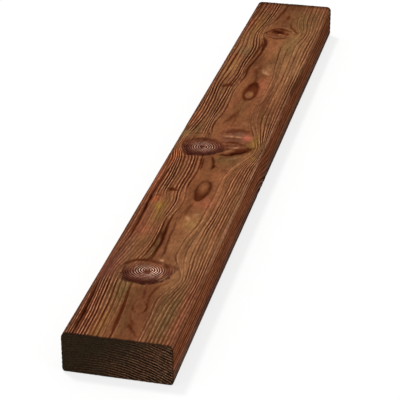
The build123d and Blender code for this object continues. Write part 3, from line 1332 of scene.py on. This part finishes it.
    def marked(self, g: Graph, place: Socket, wood: Socket, mark: Socket, fibre: Socket) -> Socket:
        """The wood with the dark and pale marks drawn on it, and paler along the right arris, where wear and
        a painted highlight lighten it.

        Args:
            g, place: the material's graph and the place on the board.
            wood, mark, fibre: the wood's colour, how dark the marks are, and the noise of the fibres.

        Returns:
            The wood's colour.
        """
        streaked = g.plus(mark, g.rescale(fibre, *self.mark_streak_shares))
        wood = g.mix(g.smooth(streaked, 0.0, 1.0), wood, self.stroke)
        wood = g.mix(g.smooth(mark, *self.deep_mark_edge), wood, self.deep)
        wood = g.mix(g.smooth(mark, *self.pale_mark_edge), wood, self.pale)
        # Wear and a painted highlight along the right arris, in the bare tint.
        wear_and_highlight = g.times(g.attribute("wear_and_highlight"), g.noise(place, self.wear_highlight_dash), clamp=True)
        return g.mix(wear_and_highlight, wood, self.bare_and_highlight)

    def toned(self, g: Graph, wood: Socket, season: Socket, fibre: Any) -> Socket:
        """The wood made lighter and darker by its fibres, streaks and years, with its pores.

        Args:
            g, wood: the material's graph and the wood's colour.
            season: a value of its own for each year's growth.
            fibre: the outputs of the group for fibres.

        Returns:
            The wood's colour.
        """
        grain = g.rescale(fibre["Fibre"], *self.fibre_tones)
        streaks = g.rescale(g.smooth(fibre["Streak"], *self.streak_edge), *self.streak_tones)
        years = g.times(g.rescale(season, *self.season_tones), g.rescale(fibre["Dash"], *self.dash_tones))
        toned = g.add("ShaderNodeVectorMath", {0: wood}, operation="SCALE")
        g.feed(toned.inputs["Scale"], g.times(g.attribute("tone"), g.times(grain, g.times(streaks, years))))
        return g.mix(g.times(fibre["Pores"], self.pore_share), toned.outputs[0], self.line)


@dataclass(frozen=True)
class SawnFinish:
    """The dark, open end grain of the sawn ends, with its growth arcs round a pith below the board.

    The end is darker and its arcs fainter to the left and above. The sizes of the arcs are in millimetres.
    """

    body: Tint = colour(72, 53, 38)
    shadow: Tint = colour(24, 17, 13)
    arc: Tint = colour(196, 142, 106)
    mould: Tint = colour(62, 58, 38)
    rust: Tint = colour(104, 58, 42)
    pith_from_left: float = 29.0
    pith_below: float = 115.0
    arc_pitch: float = 2.5
    arc_waver: Noise = Noise((20, 90, 90), 3.0, shares=(-0.7, 0.7))
    arc_strength: float = 1.25
    arc_width: float = 0.7
    arc_fray: float = 1.1
    arc_pale_reach: float = 1.8
    fibre_length: float = 30.0
    mould_share: float = 0.6
    rise_to_right: float = 1.15
    right_edge: Span = (56 * MM, -31 * MM)
    rust_shares: Span = (0.15, 0.7)
    pale_grit: Noise = Noise((420, 420, 420), 3.0, shares=(-0.6, 2.2))
    pale_by_right: Span = (0.06, 1.5)
    dark_edge: Span = (0.1, 0.8)
    dark_by_right: Span = (0.2, 1.0)
    left_shadow: Span = (0.16, 0.0)
    pit: Noise = Noise((900, 900, 900), 3.0, edge=(0.42, 0.6))
    pit_share: float = 0.45
    arc_height: float = -0.6
    pit_height: float = -0.7
    roughness: Span = (0.8, 0.95)
    relief_depth: float = 0.4 * MM
    relief_strength: float = 0.8
    specular: float = 0.03

    def arcs(self, y: Array, z: Array, half_width: float) -> Array:
        """The arc number at places of the end, given in millimetres from the middle of its lower edge."""
        return np.hypot(y - (half_width - self.pith_from_left), z + self.pith_below) / self.arc_pitch

    def material(self, groups: Groups) -> bpy.types.Material:
        """Build the material.

        Args:
            groups: the shared node groups by name.

        Returns:
            The material.
        """
        made, g = new_material("sawn_end")
        place = g.place()
        arcs = g.plus(g.attribute("ring"), g.noise(place, self.arc_waver))
        lines = g.add("ShaderNodeGroup", {
            "Place": place, "Ring": arcs, "Pitch": self.arc_pitch, "Strength": self.arc_strength,
            "Width": self.arc_width, "Fray": self.arc_fray, "Pale Reach": self.arc_pale_reach},
            node_tree=groups["growth_lines"]).outputs
        inputs = {"Place": place, "Length": self.fibre_length}
        fibre = g.add("ShaderNodeGroup", inputs, node_tree=groups["wood_fibre"]).outputs
        slope = g.math("MULTIPLY_ADD", g.axis(place, "Z"), self.rise_to_right, g.axis(place, "Y"))
        to_right = g.smooth(slope, *self.right_edge)

        wood = g.mix(g.times(fibre["Patch"], self.mould_share), self.body, self.mould)
        wood = g.mix(g.times(to_right, g.rescale(fibre["Blush"], *self.rust_shares)), wood, self.rust)
        # The pale arcs, partly a painted highlight on one side of each arc.
        pale = g.times(lines["Pale"], g.noise(place, self.pale_grit))
        wood = g.mix(g.times(pale, g.rescale(to_right, *self.pale_by_right), clamp=True), wood, self.arc)
        drawn = g.times(g.smooth(lines["Dark"], *self.dark_edge), g.rescale(to_right, *self.dark_by_right))
        wood = g.mix(drawn, wood, self.shadow)
        wood = g.mix(g.rescale(to_right, *self.left_shadow), wood, self.shadow)
        pits = g.noise(place, self.pit)
        wood = g.mix(g.times(pits, self.pit_share), wood, self.shadow)

        height = g.math("MULTIPLY_ADD", lines["Dark"], self.arc_height, g.times(pits, self.pit_height))
        roughness = g.rescale(pits, *self.roughness)
        g.surface(wood, roughness, height, self.relief_depth, self.relief_strength, self.specular)
        return made


@dataclass(frozen=True)
class BoardForm:
    """The board's plain form, in millimetres: its sizes, its edges' radii and where places lie on it.

    The arris depth is how far in from the section's outline the faces of the sawn ends begin.
    """

    length: float
    width: float
    thickness: float
    walking_radius: float = 6.0
    underside_radius: float = 3.0
    arris_depth: float = 0.3
    tolerance: float = 0.01

    def radius(self, up: Array) -> Array:
        """The radius of the edges on the same side of the board's middle height as each place."""
        return np.where(up > 0, self.walking_radius, self.underside_radius)

    def unrolled(self, places: Array) -> tuple[Array, Array]:
        """Unroll the long faces.

        Args:
            places: places on the board.

        Returns:
            How far across the walking face and across the underside they lie, past the edges too.
        """
        across = self.width / 2 - places[:, 1]
        down, up = self.thickness - places[:, 2], places[:, 2]
        left = across < self.width / 2
        side = np.minimum(across, self.width - across) < self.walking_radius
        above = np.where(side, np.where(left, across - down, across + down), across)
        below = np.where(side, np.where(left, across - up, across + up), across)
        return above, below

    def past_edge(self, across: Array) -> Array:
        """How far past the nearest long edge of the walking face each place lies."""
        return np.abs(across - self.width / 2) - self.width / 2

    def depth_inside(self, places: Array) -> Array:
        """Measure from the section's outline.

        Args:
            places: places on the board.

        Returns:
            How far inside it they lie.
        """
        up = places[:, 2] - self.thickness / 2
        radius = self.radius(up)
        a = np.abs(places[:, 1]) - (self.width / 2 - radius)
        b = np.abs(up) - (self.thickness / 2 - radius)
        outside = np.hypot(np.maximum(a, 0), np.maximum(b, 0)) + np.minimum(np.maximum(a, b), 0)
        return radius - outside

    def at_end(self, places: Array) -> Array:
        """Whether each place lies at one of the board's ends."""
        return np.abs(np.abs(places[:, 0]) - self.length / 2) < self.tolerance

    def on_sawn_face(self, places: Array) -> Array:
        """Whether each place lies on a sawn end, inside its arris."""
        return self.at_end(places) & (self.depth_inside(places) > self.arris_depth)

    def on_end_arris(self, places: Array) -> Array:
        """Whether each place lies on the arris round a sawn end."""
        return self.at_end(places) & ~self.on_sawn_face(places)

    def outward(self, places: Array) -> Array:
        """Find the way out of the solid.

        Args:
            places: points of its surface.

        Returns:
            The direction at each point, with a length of one.
        """
        up = places[:, 2] - self.thickness / 2
        radius = self.radius(up)
        y = np.sign(places[:, 1]) * np.maximum(np.abs(places[:, 1]) - (self.width / 2 - radius), 0)
        z = np.sign(up) * np.maximum(np.abs(up) - (self.thickness / 2 - radius), 0)
        nothing = np.zeros(len(y))
        sideways = np.column_stack([nothing, y, z])
        sideways /= np.maximum(np.linalg.norm(sideways, axis=1), 1e-9)[:, None]
        lengthwise = np.column_stack([np.sign(places[:, 0]), nothing, nothing])
        return np.where(self.on_sawn_face(places)[:, None], lengthwise, sideways)


@dataclass(frozen=True)
class BoardShell:
    """The board's closed skin: its rounded section swept from end to end, and the two sawn ends.

    The steps along the length are fine in the busy stretches, which hold the knots, and coarse in the calm
    ones. Each arris has steps of its own, counted from the end. All are in millimetres.
    """

    form: BoardForm
    cells_across: int = 110
    cells_up: int = 28
    fine_step: float = 1.45
    coarse_step: float = 3.6
    busy: Places = ((88, 150), (360, 445), (728, 768))
    busy_border: float = 14.0
    sample_step: float = 0.25
    arris_steps: tuple[float, ...] = (0.0, 0.35, 1.1)
    arris_end: float = 2.0
    weld: float = 0.01

    def stations(self) -> Array:
        """Cut the length: finely at the knots and at the two arrises.

        Returns:
            Where the cuts lie.
        """
        length, border, sample = self.form.length, self.busy_border, self.sample_step
        fine = np.arange(0, length + sample, sample)
        calm = np.ones(len(fine))
        for start, end in self.busy:
            calm = np.minimum(calm, 1 - ramp(start - border, start, fine) * ramp(end + border, end, fine))
        step = self.fine_step + (self.coarse_step - self.fine_step) * calm
        count = np.concatenate([[0], np.cumsum(sample / step)[:-1]])
        even = np.linspace(0, count[-1], int(round(count[-1])) + 1)
        inner = np.interp(even, count, fine)[1:-1]
        inner = inner[(inner > self.arris_end) & (inner < length - self.arris_end)]
        arris = np.array(self.arris_steps)
        return np.concatenate([arris, inner, length - arris[::-1]]) - length / 2

    def tree(self) -> bpy.types.NodeTree:
        """Build the tree that sweeps the section along the stations and closes its ends.

        Returns:
            The tree.
        """
        takes = {
            "Stations": ("NodeSocketGeometry", None), "Length": (FLOAT, 0.0), "Width": (FLOAT, 0.0),
            "Thickness": (FLOAT, 0.0), "Walking Radius": (FLOAT, 0.0), "Underside Radius": (FLOAT, 0.0),
            "Cells Across": ("NodeSocketInt", 10), "Cells Up": ("NodeSocketInt", 10),
            "Planed": ("NodeSocketMaterial", None), "Sawn": ("NodeSocketMaterial", None),
        }
        gives = {"Board": "NodeSocketGeometry"}
        tree, g, start, end = new_group("board_shell", "GeometryNodeTree", takes, gives)
        given = start.outputs
        half = g.times(given["Length"], 0.5)
        closed = self.closed(g, given, self.section(g, given), half)
        lift = g.along_axes(z=g.times(given["Thickness"], 0.5))
        raised = g.result("GeometryNodeTransform", {"Geometry": closed, "Translation": lift})
        real = g.result("GeometryNodeRealizeInstances", {"Geometry": raised})
        planed = g.result("GeometryNodeSetMaterial", {"Geometry": real, "Material": given["Planed"]})
        place = g.result("GeometryNodeInputPosition")
        from_middle, nearly = g.math("ABSOLUTE", g.axis(place, "X")), g.math("SUBTRACT", half, self.weld * MM)
        at_end = g.result("FunctionNodeCompare", {0: from_middle, 1: nearly},
                          data_type="FLOAT", operation="GREATER_THAN")
        inputs = {"Geometry": planed, "Selection": at_end, "Material": given["Sawn"]}
        g.feed(end.inputs[0], g.result("GeometryNodeSetMaterial", inputs))
        return tree

    def section(self, g: Graph, given: Any) -> Socket:
        """Lay out the section as a flat grid, with its corners drawn in to their radii.

        Args:
            g, given: the tree's graph and its inputs.

        Returns:
            The grid, which lies in X and Y.
        """
        grid = g.result("GeometryNodeMeshGrid", {
            "Size X": given["Width"], "Size Y": given["Thickness"],
            "Vertices X": g.plus(given["Cells Across"], 1.0), "Vertices Y": g.plus(given["Cells Up"], 1.0)})
        place = g.result("GeometryNodeInputPosition")
        flat = [g.axis(place, name) for name in "XY"]
        away = [g.math("ABSOLUTE", value) for value in flat]
        above = g.math("GREATER_THAN", flat[1], 0.0)
        spare = g.math("SUBTRACT", given["Walking Radius"], given["Underside Radius"])
        radius = g.math("MULTIPLY_ADD", above, spare, given["Underside Radius"])
        straight = [g.math("SUBTRACT", g.times(given[size], 0.5), radius) for size in ("Width", "Thickness")]
        reach = [g.math("MAXIMUM", g.math("SUBTRACT", *pair), 0.0) for pair in zip(away, straight)]
        squared = g.plus(*(g.math("POWER", value, 2.0) for value in reach))
        distance = g.math("MAXIMUM", g.math("SQRT", squared), 1e-9)
        pull = g.math("DIVIDE", g.math("MAXIMUM", *reach), distance)
        rounded = []
        for number, value in enumerate(flat):
            kept = g.math("MINIMUM", away[number], straight[number])
            size = g.math("MULTIPLY_ADD", reach[number], pull, kept)
            rounded.append(g.times(size, g.math("SIGN", value)))
        return g.result("GeometryNodeSetPosition", {"Geometry": grid, "Position": g.along_axes(*rounded)})

    def closed(self, g: Graph, given: Any, section: Socket, half: Socket) -> Socket:
        """The swept skin with its two ends, welded into one closed surface round the X axis.

        Args:
            g, given: the tree's graph and its inputs.
            section, half: the section's grid and half of the board's length.

        Returns:
            The closed surface.
        """
        faces_beside = g.result("GeometryNodeInputMeshEdgeNeighbors")
        rim = g.result("FunctionNodeCompare", {2: faces_beside, 3: 1}, data_type="INT", operation="EQUAL")
        outline = g.result("GeometryNodeMeshToCurve", {"Mesh": section, "Selection": rim})
        turned = g.result("GeometryNodeTransform", {"Geometry": outline, "Rotation": (0, 0, math.pi)})
        route = g.result("GeometryNodeMeshToCurve", {"Mesh": given["Stations"]})
        skin = g.result("GeometryNodeCurveToMesh", {"Curve": route, "Profile Curve": turned})
        joined = g.add("GeometryNodeJoinGeometry")
        g.feed(joined.inputs[0], skin)
        place = g.result("GeometryNodeInputPosition")
        stood = g.along_axes(y=g.axis(place, "X"), z=g.axis(place, "Y"))
        end_face = g.result("GeometryNodeSetPosition", {"Geometry": section, "Position": stood})
        for side in (-1.0, 1.0):
            shift = g.along_axes(g.times(half, side))
            moved = g.result("GeometryNodeTransform", {"Geometry": end_face, "Translation": shift})
            g.feed(joined.inputs[0], moved)
        inputs = {"Geometry": joined.outputs[0], "Distance": self.weld * MM}
        return g.result("GeometryNodeMergeByDistance", inputs)

    def mesh(self, planed: bpy.types.Material, sawn: bpy.types.Material) -> bpy.types.Mesh:
        """Run the tree and take its result as a plain mesh.

        Args:
            planed, sawn: the materials of the long faces and of the two ends.

        Returns:
            The closed skin, facing outwards, in metres.
        """
        along, form = self.stations() * MM, self.form
        route = bpy.data.meshes.new("station_line")
        route.from_pydata([(x, 0, 0) for x in along], [(i, i + 1) for i in range(len(along) - 1)], [])
        carrier = bpy.data.objects.new("station_line", route)
        bpy.context.scene.collection.objects.link(carrier)
        modifier = carrier.modifiers.new("shell", "NODES")
        modifier.node_group = self.tree()
        values = {
            "Length": form.length * MM, "Width": form.width * MM, "Thickness": form.thickness * MM,
            "Walking Radius": form.walking_radius * MM, "Underside Radius": form.underside_radius * MM,
            "Cells Across": self.cells_across, "Cells Up": self.cells_up, "Planed": planed, "Sawn": sawn,
        }
        for item in modifier.node_group.interface.items_tree:
            if item.in_out == "INPUT" and item.name in values:
                modifier[item.identifier] = values[item.name]
        evaluated = carrier.evaluated_get(bpy.context.evaluated_depsgraph_get())
        made = bpy.data.meshes.new_from_object(evaluated)
        bpy.data.objects.remove(carrier)
        bpy.data.meshes.remove(route)
        shaped = bmesh.new()
        shaped.from_mesh(made)
        bmesh.ops.recalc_face_normals(shaped, faces=shaped.faces)
        shaped.to_mesh(made)
        shaped.free()
        return made


@dataclass(frozen=True)
class WeatheringAndPaintedLight:
    """How age, use and painted light colour the board: stained patches, a right arris with wear and a painted
    highlight, painted shade at the foot of each side, and darkened edges.

    The zones on the side take the height above the floor in place of the place across the face. A rise or
    fall in the wear and highlight is a zone along the board. Arris spans hold how far past the edge a line
    lies and its width.
    """

    form: BoardForm
    stain_cell: Span = (9, 5)
    first_stain_seed: int = 100
    stain_raggedness: float = 0.35
    stain_limit: float = 0.9
    # The wear and the painted highlight along the right arris.
    wear_highlight_base: float = 0.2
    wear_highlight_rise: Zone = Zone(0.55, ((110, 170),))
    wear_highlight_fall: Zone = Zone(0.5, ((640, 700),))
    wear_highlight_breaks: Drift = Drift(14, 30, 61, 0.6, 0.8)
    wear_highlight_arris: Span = (0.3, 1.5)
    wear_highlight_gain: float = 0.15
    # Painted shade: each side darkens towards the floor, most in its lowest few millimetres.
    side_foot_shade: Zone = Zone(0.3, (), ((16, 6),))
    side_ground_shade: Zone = Zone(0.55, (), ((7, 2),))
    side_far: Zone = Zone(0.13, ((320, 400),))
    side_near: Zone = Zone(0.16, ((150, 60),), ((22, 34),))
    far_end_loss: float = 0.6
    far_end_border: Span = (14, 2)
    dark_stretch_loss: float = 0.34
    dark_arris: Span = (4.2, 3.4)
    left_arris_loss: float = 0.4
    left_arris: Span = (0.4, 3.0)
    left_arris_breaks: Drift = Drift(30, 30, 62, 0.4, 0.8)
    hidden_tone: float = 0.82
    tone_limits: Span = (0.2, 2.6)

    def stains(self, along: Array, across: Array, hidden: Array) -> Array:
        """The tint and, as alpha, its strength that the patches of colour give each place.

        Args:
            along, across, hidden: the places, and which of them lie on the underside, which has no patches.

        Returns:
            Red, green, blue and alpha for each place.
        """
        tint, total = np.zeros((len(along), 3)), np.zeros(len(along))
        for number, stain in enumerate(STAINS):
            forward = (along - stain.along) / stain.half_length
            sideways = (across - stain.across) / stain.half_width
            edge = Drift(*self.stain_cell, self.first_stain_seed + number, self.stain_raggedness, 1.0)
            away = (forward ** 2 + sideways ** 2) * edge.at(along, across)
            weight = stain.strength * np.exp(-away) * ~hidden
            tint += weight[:, None] * np.array(stain.tint[:3])
            total += weight
        shown = tint / np.maximum(total, 1e-6)[:, None]
        return np.column_stack([shown, np.clip(total, 0, self.stain_limit)])

    def past_right(self, across: Array, line: Span) -> Array:
        """How strongly a soft line past the right edge of the walking face shows at each place."""
        return bell((across - self.form.width - line[0]) / line[1])

    def wear_and_highlight(self, along: Array, across: Array) -> Array:
        """Wear the finish off the right arris and paint a highlight along it, in a broken line.

        Args:
            along, across: the places.

        Returns:
            How far it has gone at each place.
        """
        reach = self.wear_highlight_base + self.wear_highlight_rise.effect(along, across) - self.wear_highlight_fall.effect(along, across)
        broken = np.maximum(self.wear_highlight_breaks.at(along, across), 0)
        whole = 1 - DARK_STRETCH.effect(along, across)
        return reach * whole * broken * self.past_right(across, self.wear_highlight_arris)

    def tone(self, along: Array, across: Array, height: Array, hidden: Array) -> Array:
        """How light each place is against the finish's own colour: darker edges, painted shade at the foot of
        each side, and a right arris with wear and a painted highlight.

        Args:
            along, across, height: the places on the walking face and its sides, and how high they lie.
            hidden: which of them lie on the underside.

        Returns:
            The share of the finish's own colour.
        """
        side = self.form.past_edge(across) > 0
        # Painted shade at the foot of each side.
        tone = 1 - (self.side_foot_shade.effect(along, height) + self.side_ground_shade.effect(along, height)) * side
        tone *= 1 - self.far_end_loss * ramp(*self.far_end_border, self.form.length - along)
        tone *= 1 - self.side_far.effect(along, height) * side
        tone *= 1 + self.side_near.effect(along, height) * side
        # The right arris gets lighter: wear and a painted highlight.
        tone += self.wear_highlight_gain * self.wear_and_highlight(along, across)
        dark = DARK_STRETCH.effect(along, across) * self.past_right(across, self.dark_arris)
        tone -= self.dark_stretch_loss * dark
        past_left, width = self.left_arris
        broken = self.left_arris_breaks.at(along, across)
        tone -= self.left_arris_loss * bell((across + past_left) / width) * broken
        return np.where(hidden, self.hidden_tone, np.clip(tone, *self.tone_limits))


@dataclass(frozen=True)
class Relief:
    """How deep each thing is carved into the board, in millimetres, always inwards from the solid's surface.

    Ripples and grits are random. The saw marks lie a pitch apart up the sawn ends and slant a little.
    """

    form: BoardForm
    line_depth: float = 0.3
    line_reach: float = 1.05
    wide_border: Span = (1.9, 3.4)
    narrow_share: float = 0.3
    mark_depth: float = 0.18
    knot_border: Span = (1.04, 0.96)
    knot_ring_depth: float = 0.14
    knot_depth: float = 0.1
    knot_grit: Drift = Drift(2.5, 2.5, 81, 0.12, 0.12)
    knot_rim_depth: float = 0.35
    knot_rim_width: float = 0.06
    long_ripple: Drift = Drift(26, 2.2, 82, 0.05, 0.05)
    short_ripple: Drift = Drift(9, 1.7, 83, 0.03, 0.03)
    deepest: float = 1.2
    saw_depth: float = 0.06
    saw_pitch: float = 3.1
    saw_slant: float = 0.05
    arc_depth: float = 0.12
    end_grit: Drift = Drift(1.9, 1.9, 84, 0.08, 0.08)
    arris_wear: float = 0.3

    def carve(self, places: Array, values: Fields) -> Array:
        """Carve the surface, and blunt the arris round each sawn end by drawing its own points in a little.

        Args:
            places: the mesh's points.
            values: the surface's values for each of them.

        Returns:
            The points where they then lie.
        """
        depth = np.where(self.form.on_sawn_face(places), self.sawn_depth(places, values),
                         np.minimum(self.planed_depth(places, values), self.deepest))
        depth += self.arris_wear * self.form.on_end_arris(places)
        return places - self.form.outward(places) * depth[:, None]

    def planed_depth(self, places: Array, values: Fields) -> Array:
        """Carve growth lines, marks, knots and ripples into the planed faces.

        Args:
            places, values: the mesh's points, and the surface's values for each of them.

        Returns:
            How deep each point goes.
        """
        along = places[:, 0] + self.form.length / 2
        above, _ = self.form.unrolled(places)
        ring, pitch, share = values["ring"], values["ring_pitch"], values["knot_share"]
        offset = np.abs(ring - np.round(ring)) * pitch
        wide = self.narrow_share + (1 - self.narrow_share) * ramp(*self.wide_border, pitch)
        wood = self.line_depth * values["line_strength"] * bell(offset / self.line_reach) * wide
        wood += self.mark_depth * np.maximum(values["mark"], 0)
        waves = self.knot_ring_depth * (1 - np.sin(2 * math.pi * values["knot_ring"]))
        knot = waves + self.knot_depth + self.knot_grit.at(along, above)
        inside = ramp(*self.knot_border, share)
        depth = wood * (1 - inside) + knot * inside
        rim = bell((share - 1.0) / self.knot_rim_width) * np.minimum(values["knot_shade"], 1)
        ripples = self.long_ripple.at(along, above) + self.short_ripple.at(along, above)
        return depth + self.knot_rim_depth * rim + ripples

    def sawn_depth(self, places: Array, values: Fields) -> Array:
        """Carve saw marks, growth arcs and grit into the sawn ends.

        Args:
            places, values: the mesh's points, and the surface's values for each of them.

        Returns:
            How deep each point goes.
        """
        y, z = places[:, 1], places[:, 2]
        saw = self.saw_depth * (1 + np.sin(z * 2 * math.pi / self.saw_pitch + y * self.saw_slant))
        arcs = self.arc_depth * (1 + np.cos(2 * math.pi * values["arc"]))
        return saw + arcs + self.end_grit.at(y, z)


@dataclass(frozen=True)
class DeckBoard:
    """The board: one length of softwood, planed on its long faces and sawn square at its ends.

    Points lower than the underside height take the underside's figure. The side border is how far round the
    edge the side's own colour sets in.
    """

    form: BoardForm
    walking: GrowthFigure = GrowthFigure(WALKING_LINES, WALKING_KNOTS, 3.9, 5, 0.85, 0.62)
    underside: GrowthFigure = GrowthFigure(UNDERSIDE_LINES, UNDERSIDE_KNOTS, 2.4, 8)
    handwork: Handwork = Handwork()
    planed: PlanedFinish = PlanedFinish()
    sawn: SawnFinish = SawnFinish()
    underside_height: float = 1.5
    underside_strength: float = 0.5
    side_border: Span = (1, 7)

    def build(self, groups: Groups) -> bpy.types.Object:
        """Make the board's mesh and dress it.

        Args:
            groups: the shared node groups by name.

        Returns:
            The board's object, at the origin, with its place in its mesh.
        """
        mesh = BoardShell(self.form).mesh(self.planed.material(groups), self.sawn.material(groups))
        places = np.empty(len(mesh.vertices) * 3)
        mesh.vertices.foreach_get("co", places)
        places = places.reshape(-1, 3) / MM
        values = self.surface(places)
        carved = Relief(self.form).carve(places, values)
        mesh.vertices.foreach_set("co", (carved * MM).ravel())
        for name, numbers in values.items():
            kind, key = ("FLOAT_COLOR", "color") if numbers.ndim == 2 else ("FLOAT", "value")
            mesh.attributes.new(name, kind, "POINT").data.foreach_set(key, numbers.astype(np.float32).ravel())
        self.smooth(mesh)
        board = bpy.data.objects.new("board", mesh)
        bpy.context.scene.collection.objects.link(board)
        LOG.info("board: %d faces", len(mesh.polygons))
        return board

    def smooth(self, mesh: bpy.types.Mesh) -> None:
        """Shade the mesh smoothly, with a crisp edge round each sawn end.

        Args:
            mesh: the board's mesh.
        """
        mesh.polygons.foreach_set("use_smooth", [True] * len(mesh.polygons))
        sides: dict[tuple, set[int]] = {}
        for polygon in mesh.polygons:
            for key in polygon.edge_keys:
                sides.setdefault(key, set()).add(polygon.material_index)
        for edge in mesh.edges:
            edge.use_edge_sharp = len(sides[edge.key]) > 1
        mesh.update()

    def surface(self, places: Array) -> Fields:
        """Everything that the materials and the relief read from the surface.

        Args:
            places: the mesh's points, in millimetres.

        Returns:
            The values for each point, by the names that they get on the mesh.
        """
        form, height = self.form, places[:, 2]
        along = places[:, 0] + form.length / 2
        above, below = form.unrolled(places)
        hidden = height < self.underside_height
        top, low = self.figured(self.walking, along, above), self.figured(self.underside, along, below)
        top["line_strength"] = self.handwork.line_strength(top["ring"], top["ring_pitch"], along, above)
        low["line_strength"] = self.underside_strength
        weathering_and_light = WeatheringAndPaintedLight(form)
        top["mark"], low["mark"] = self.handwork.mark_depth(along, above), 0.0
        # Wear and a painted highlight along the right arris; none on the underside.
        top["wear_and_highlight"], low["wear_and_highlight"] = weathering_and_light.wear_and_highlight(along, above), 0.0
        top["side"], low["side"] = ramp(*self.side_border, form.past_edge(above)), 0.0
        values = {name: np.where(hidden, low[name], numbers) for name, numbers in top.items()}
        values["stain"] = weathering_and_light.stains(along, above, hidden)
        values["tone"] = weathering_and_light.tone(along, above, height, hidden)
        values["end_gap"] = form.length / 2 - np.abs(places[:, 0])
        values["arc"] = self.sawn.arcs(places[:, 1], height, form.width / 2)
        values["ring"] = np.where(form.on_sawn_face(places), values["arc"], values["ring"])
        return values

    def figured(self, figure: GrowthFigure, along: Array, across: Array) -> dict[str, Any]:
        """The rings, their pitch and the knots that a figure gives each place."""
        found = {"ring": figure.rings(along, across), "ring_pitch": figure.pitch(along, across)}
        return found | figure.knot_wood(along, across)


@dataclass(frozen=True)
class Studio:
    """The pale floor, the soft light and the camera.

    The eye is in millimetres, the heading, the downward tilt and the sun's spread are in degrees. The floor's
    tint catches the light, and its seen tint and glow are what the camera gets to see.
    """

    eye: tuple[float, float, float] = (-1463.7, -319.0, 728.4)
    heading: float = 13.366
    downward: float = 27.215
    focal_share: float = 1497.3 / 400
    sensor: float = 36.0
    view_end: float = 100.0
    sun_from: tuple[float, float, float] = (0.3, 0.38, 1.0)
    sun_tint: tuple[float, float, float] = (1.0, 0.985, 0.96)
    sun_strength: float = 1.4
    sun_spread: float = 9.0
    sky_strength: float = 0.6
    white: Tint = (1, 1, 1, 1)
    floor_half: float = 12.0
    floor_tint: Tint = (0.5, 0.49, 0.48, 1.0)
    floor_seen_tint: Tint = (0.26, 0.26, 0.26, 1.0)
    floor_glow: float = 0.76

    def camera(self) -> None:
        """Set the camera up at the photograph's viewpoint."""
        data = bpy.data.cameras.new("camera")
        data.sensor_width = self.sensor
        data.lens = self.focal_share * self.sensor
        data.clip_end = self.view_end
        camera = bpy.data.objects.new("camera", data)
        bpy.context.scene.collection.objects.link(camera)
        turn, tilt = math.radians(self.heading), math.radians(self.downward)
        ahead = Vector((math.cos(turn) * math.cos(tilt), math.sin(turn) * math.cos(tilt), -math.sin(tilt)))
        facing = ahead.to_track_quat("-Z", "Y").to_matrix().to_4x4()
        camera.matrix_world = Matrix.Translation(Vector(self.eye) * MM) @ facing
        bpy.context.scene.camera = camera

    def seen(self, g: Graph) -> Socket:
        """Tell the rays that make the picture from those that only light it.

        Args:
            g: a material's or the world's graph.

        Returns:
            One for rays from the camera, from a reflection or through a clear surface.
        """
        rays = g.add("ShaderNodeLightPath").outputs
        straight = g.math("MAXIMUM", rays["Is Camera Ray"], rays["Is Glossy Ray"])
        return g.math("MAXIMUM", straight, rays["Is Transmission Ray"])

    def floor(self) -> None:
        """Lay the pale floor, which shows as white and keeps the board's shadow."""
        size = self.floor_half
        mesh = bpy.data.meshes.new("floor")
        corners = [(-size, -size, 0), (size, -size, 0), (size, size, 0), (-size, size, 0)]
        mesh.from_pydata(corners, [], [(0, 1, 2, 3)])
        floor = bpy.data.objects.new("floor", mesh)
        bpy.context.scene.collection.objects.link(floor)
        made, g = new_material("pale_floor")
        seen = self.seen(g)
        tint = g.mix(seen, self.floor_tint, self.floor_seen_tint)
        matt = g.result("ShaderNodeBsdfDiffuse", {"Color": tint})
        light = {"Color": self.white, "Strength": g.times(seen, self.floor_glow)}
        both = g.result("ShaderNodeAddShader", {0: matt, 1: g.result("ShaderNodeEmission", light)})
        g.add("ShaderNodeOutputMaterial", {"Surface": both})
        mesh.materials.append(made)

    def light(self) -> None:
        """Light the board from the upper left with a soft sun and an even sky, and show the sky as white."""
        data = bpy.data.lights.new("sun", "SUN")
        data.energy = self.sun_strength
        data.angle = math.radians(self.sun_spread)
        data.color = self.sun_tint
        sun = bpy.data.objects.new("sun", data)
        sun.matrix_world = Vector(self.sun_from).to_track_quat("Z", "Y").to_matrix().to_4x4()
        bpy.context.scene.collection.objects.link(sun)
        world = bpy.data.worlds.new("studio")
        world.use_nodes = True
        world.node_tree.nodes.clear()
        g = Graph(world.node_tree)
        strength = g.math("MULTIPLY_ADD", self.seen(g), 1.0 - self.sky_strength, self.sky_strength)
        sky = g.result("ShaderNodeBackground", {"Color": self.white, "Strength": strength})
        g.add("ShaderNodeOutputWorld", {"Surface": sky})
        bpy.context.scene.world = world

    def build(self) -> None:
        """Set up the whole studio."""
        self.camera()
        self.floor()
        self.light()
        bpy.context.scene.view_settings.view_transform = "Standard"


def main() -> None:
    """Build the studio and the board."""
    logging.basicConfig(level=logging.INFO, format="%(name)s %(message)s")
    Studio().build()
    groups = {"growth_lines": GrowthLines().tree(), "wood_fibre": WoodFibre().tree()}
    low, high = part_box(NODE)
    form = BoardForm(*(size / MM for size in high - low))
    board = DeckBoard(form).build(groups)
    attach(board, BODY)
    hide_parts(NODE)
    LOG.info("board rides on %s", BODY)


if __name__ == "__main__":
    main()
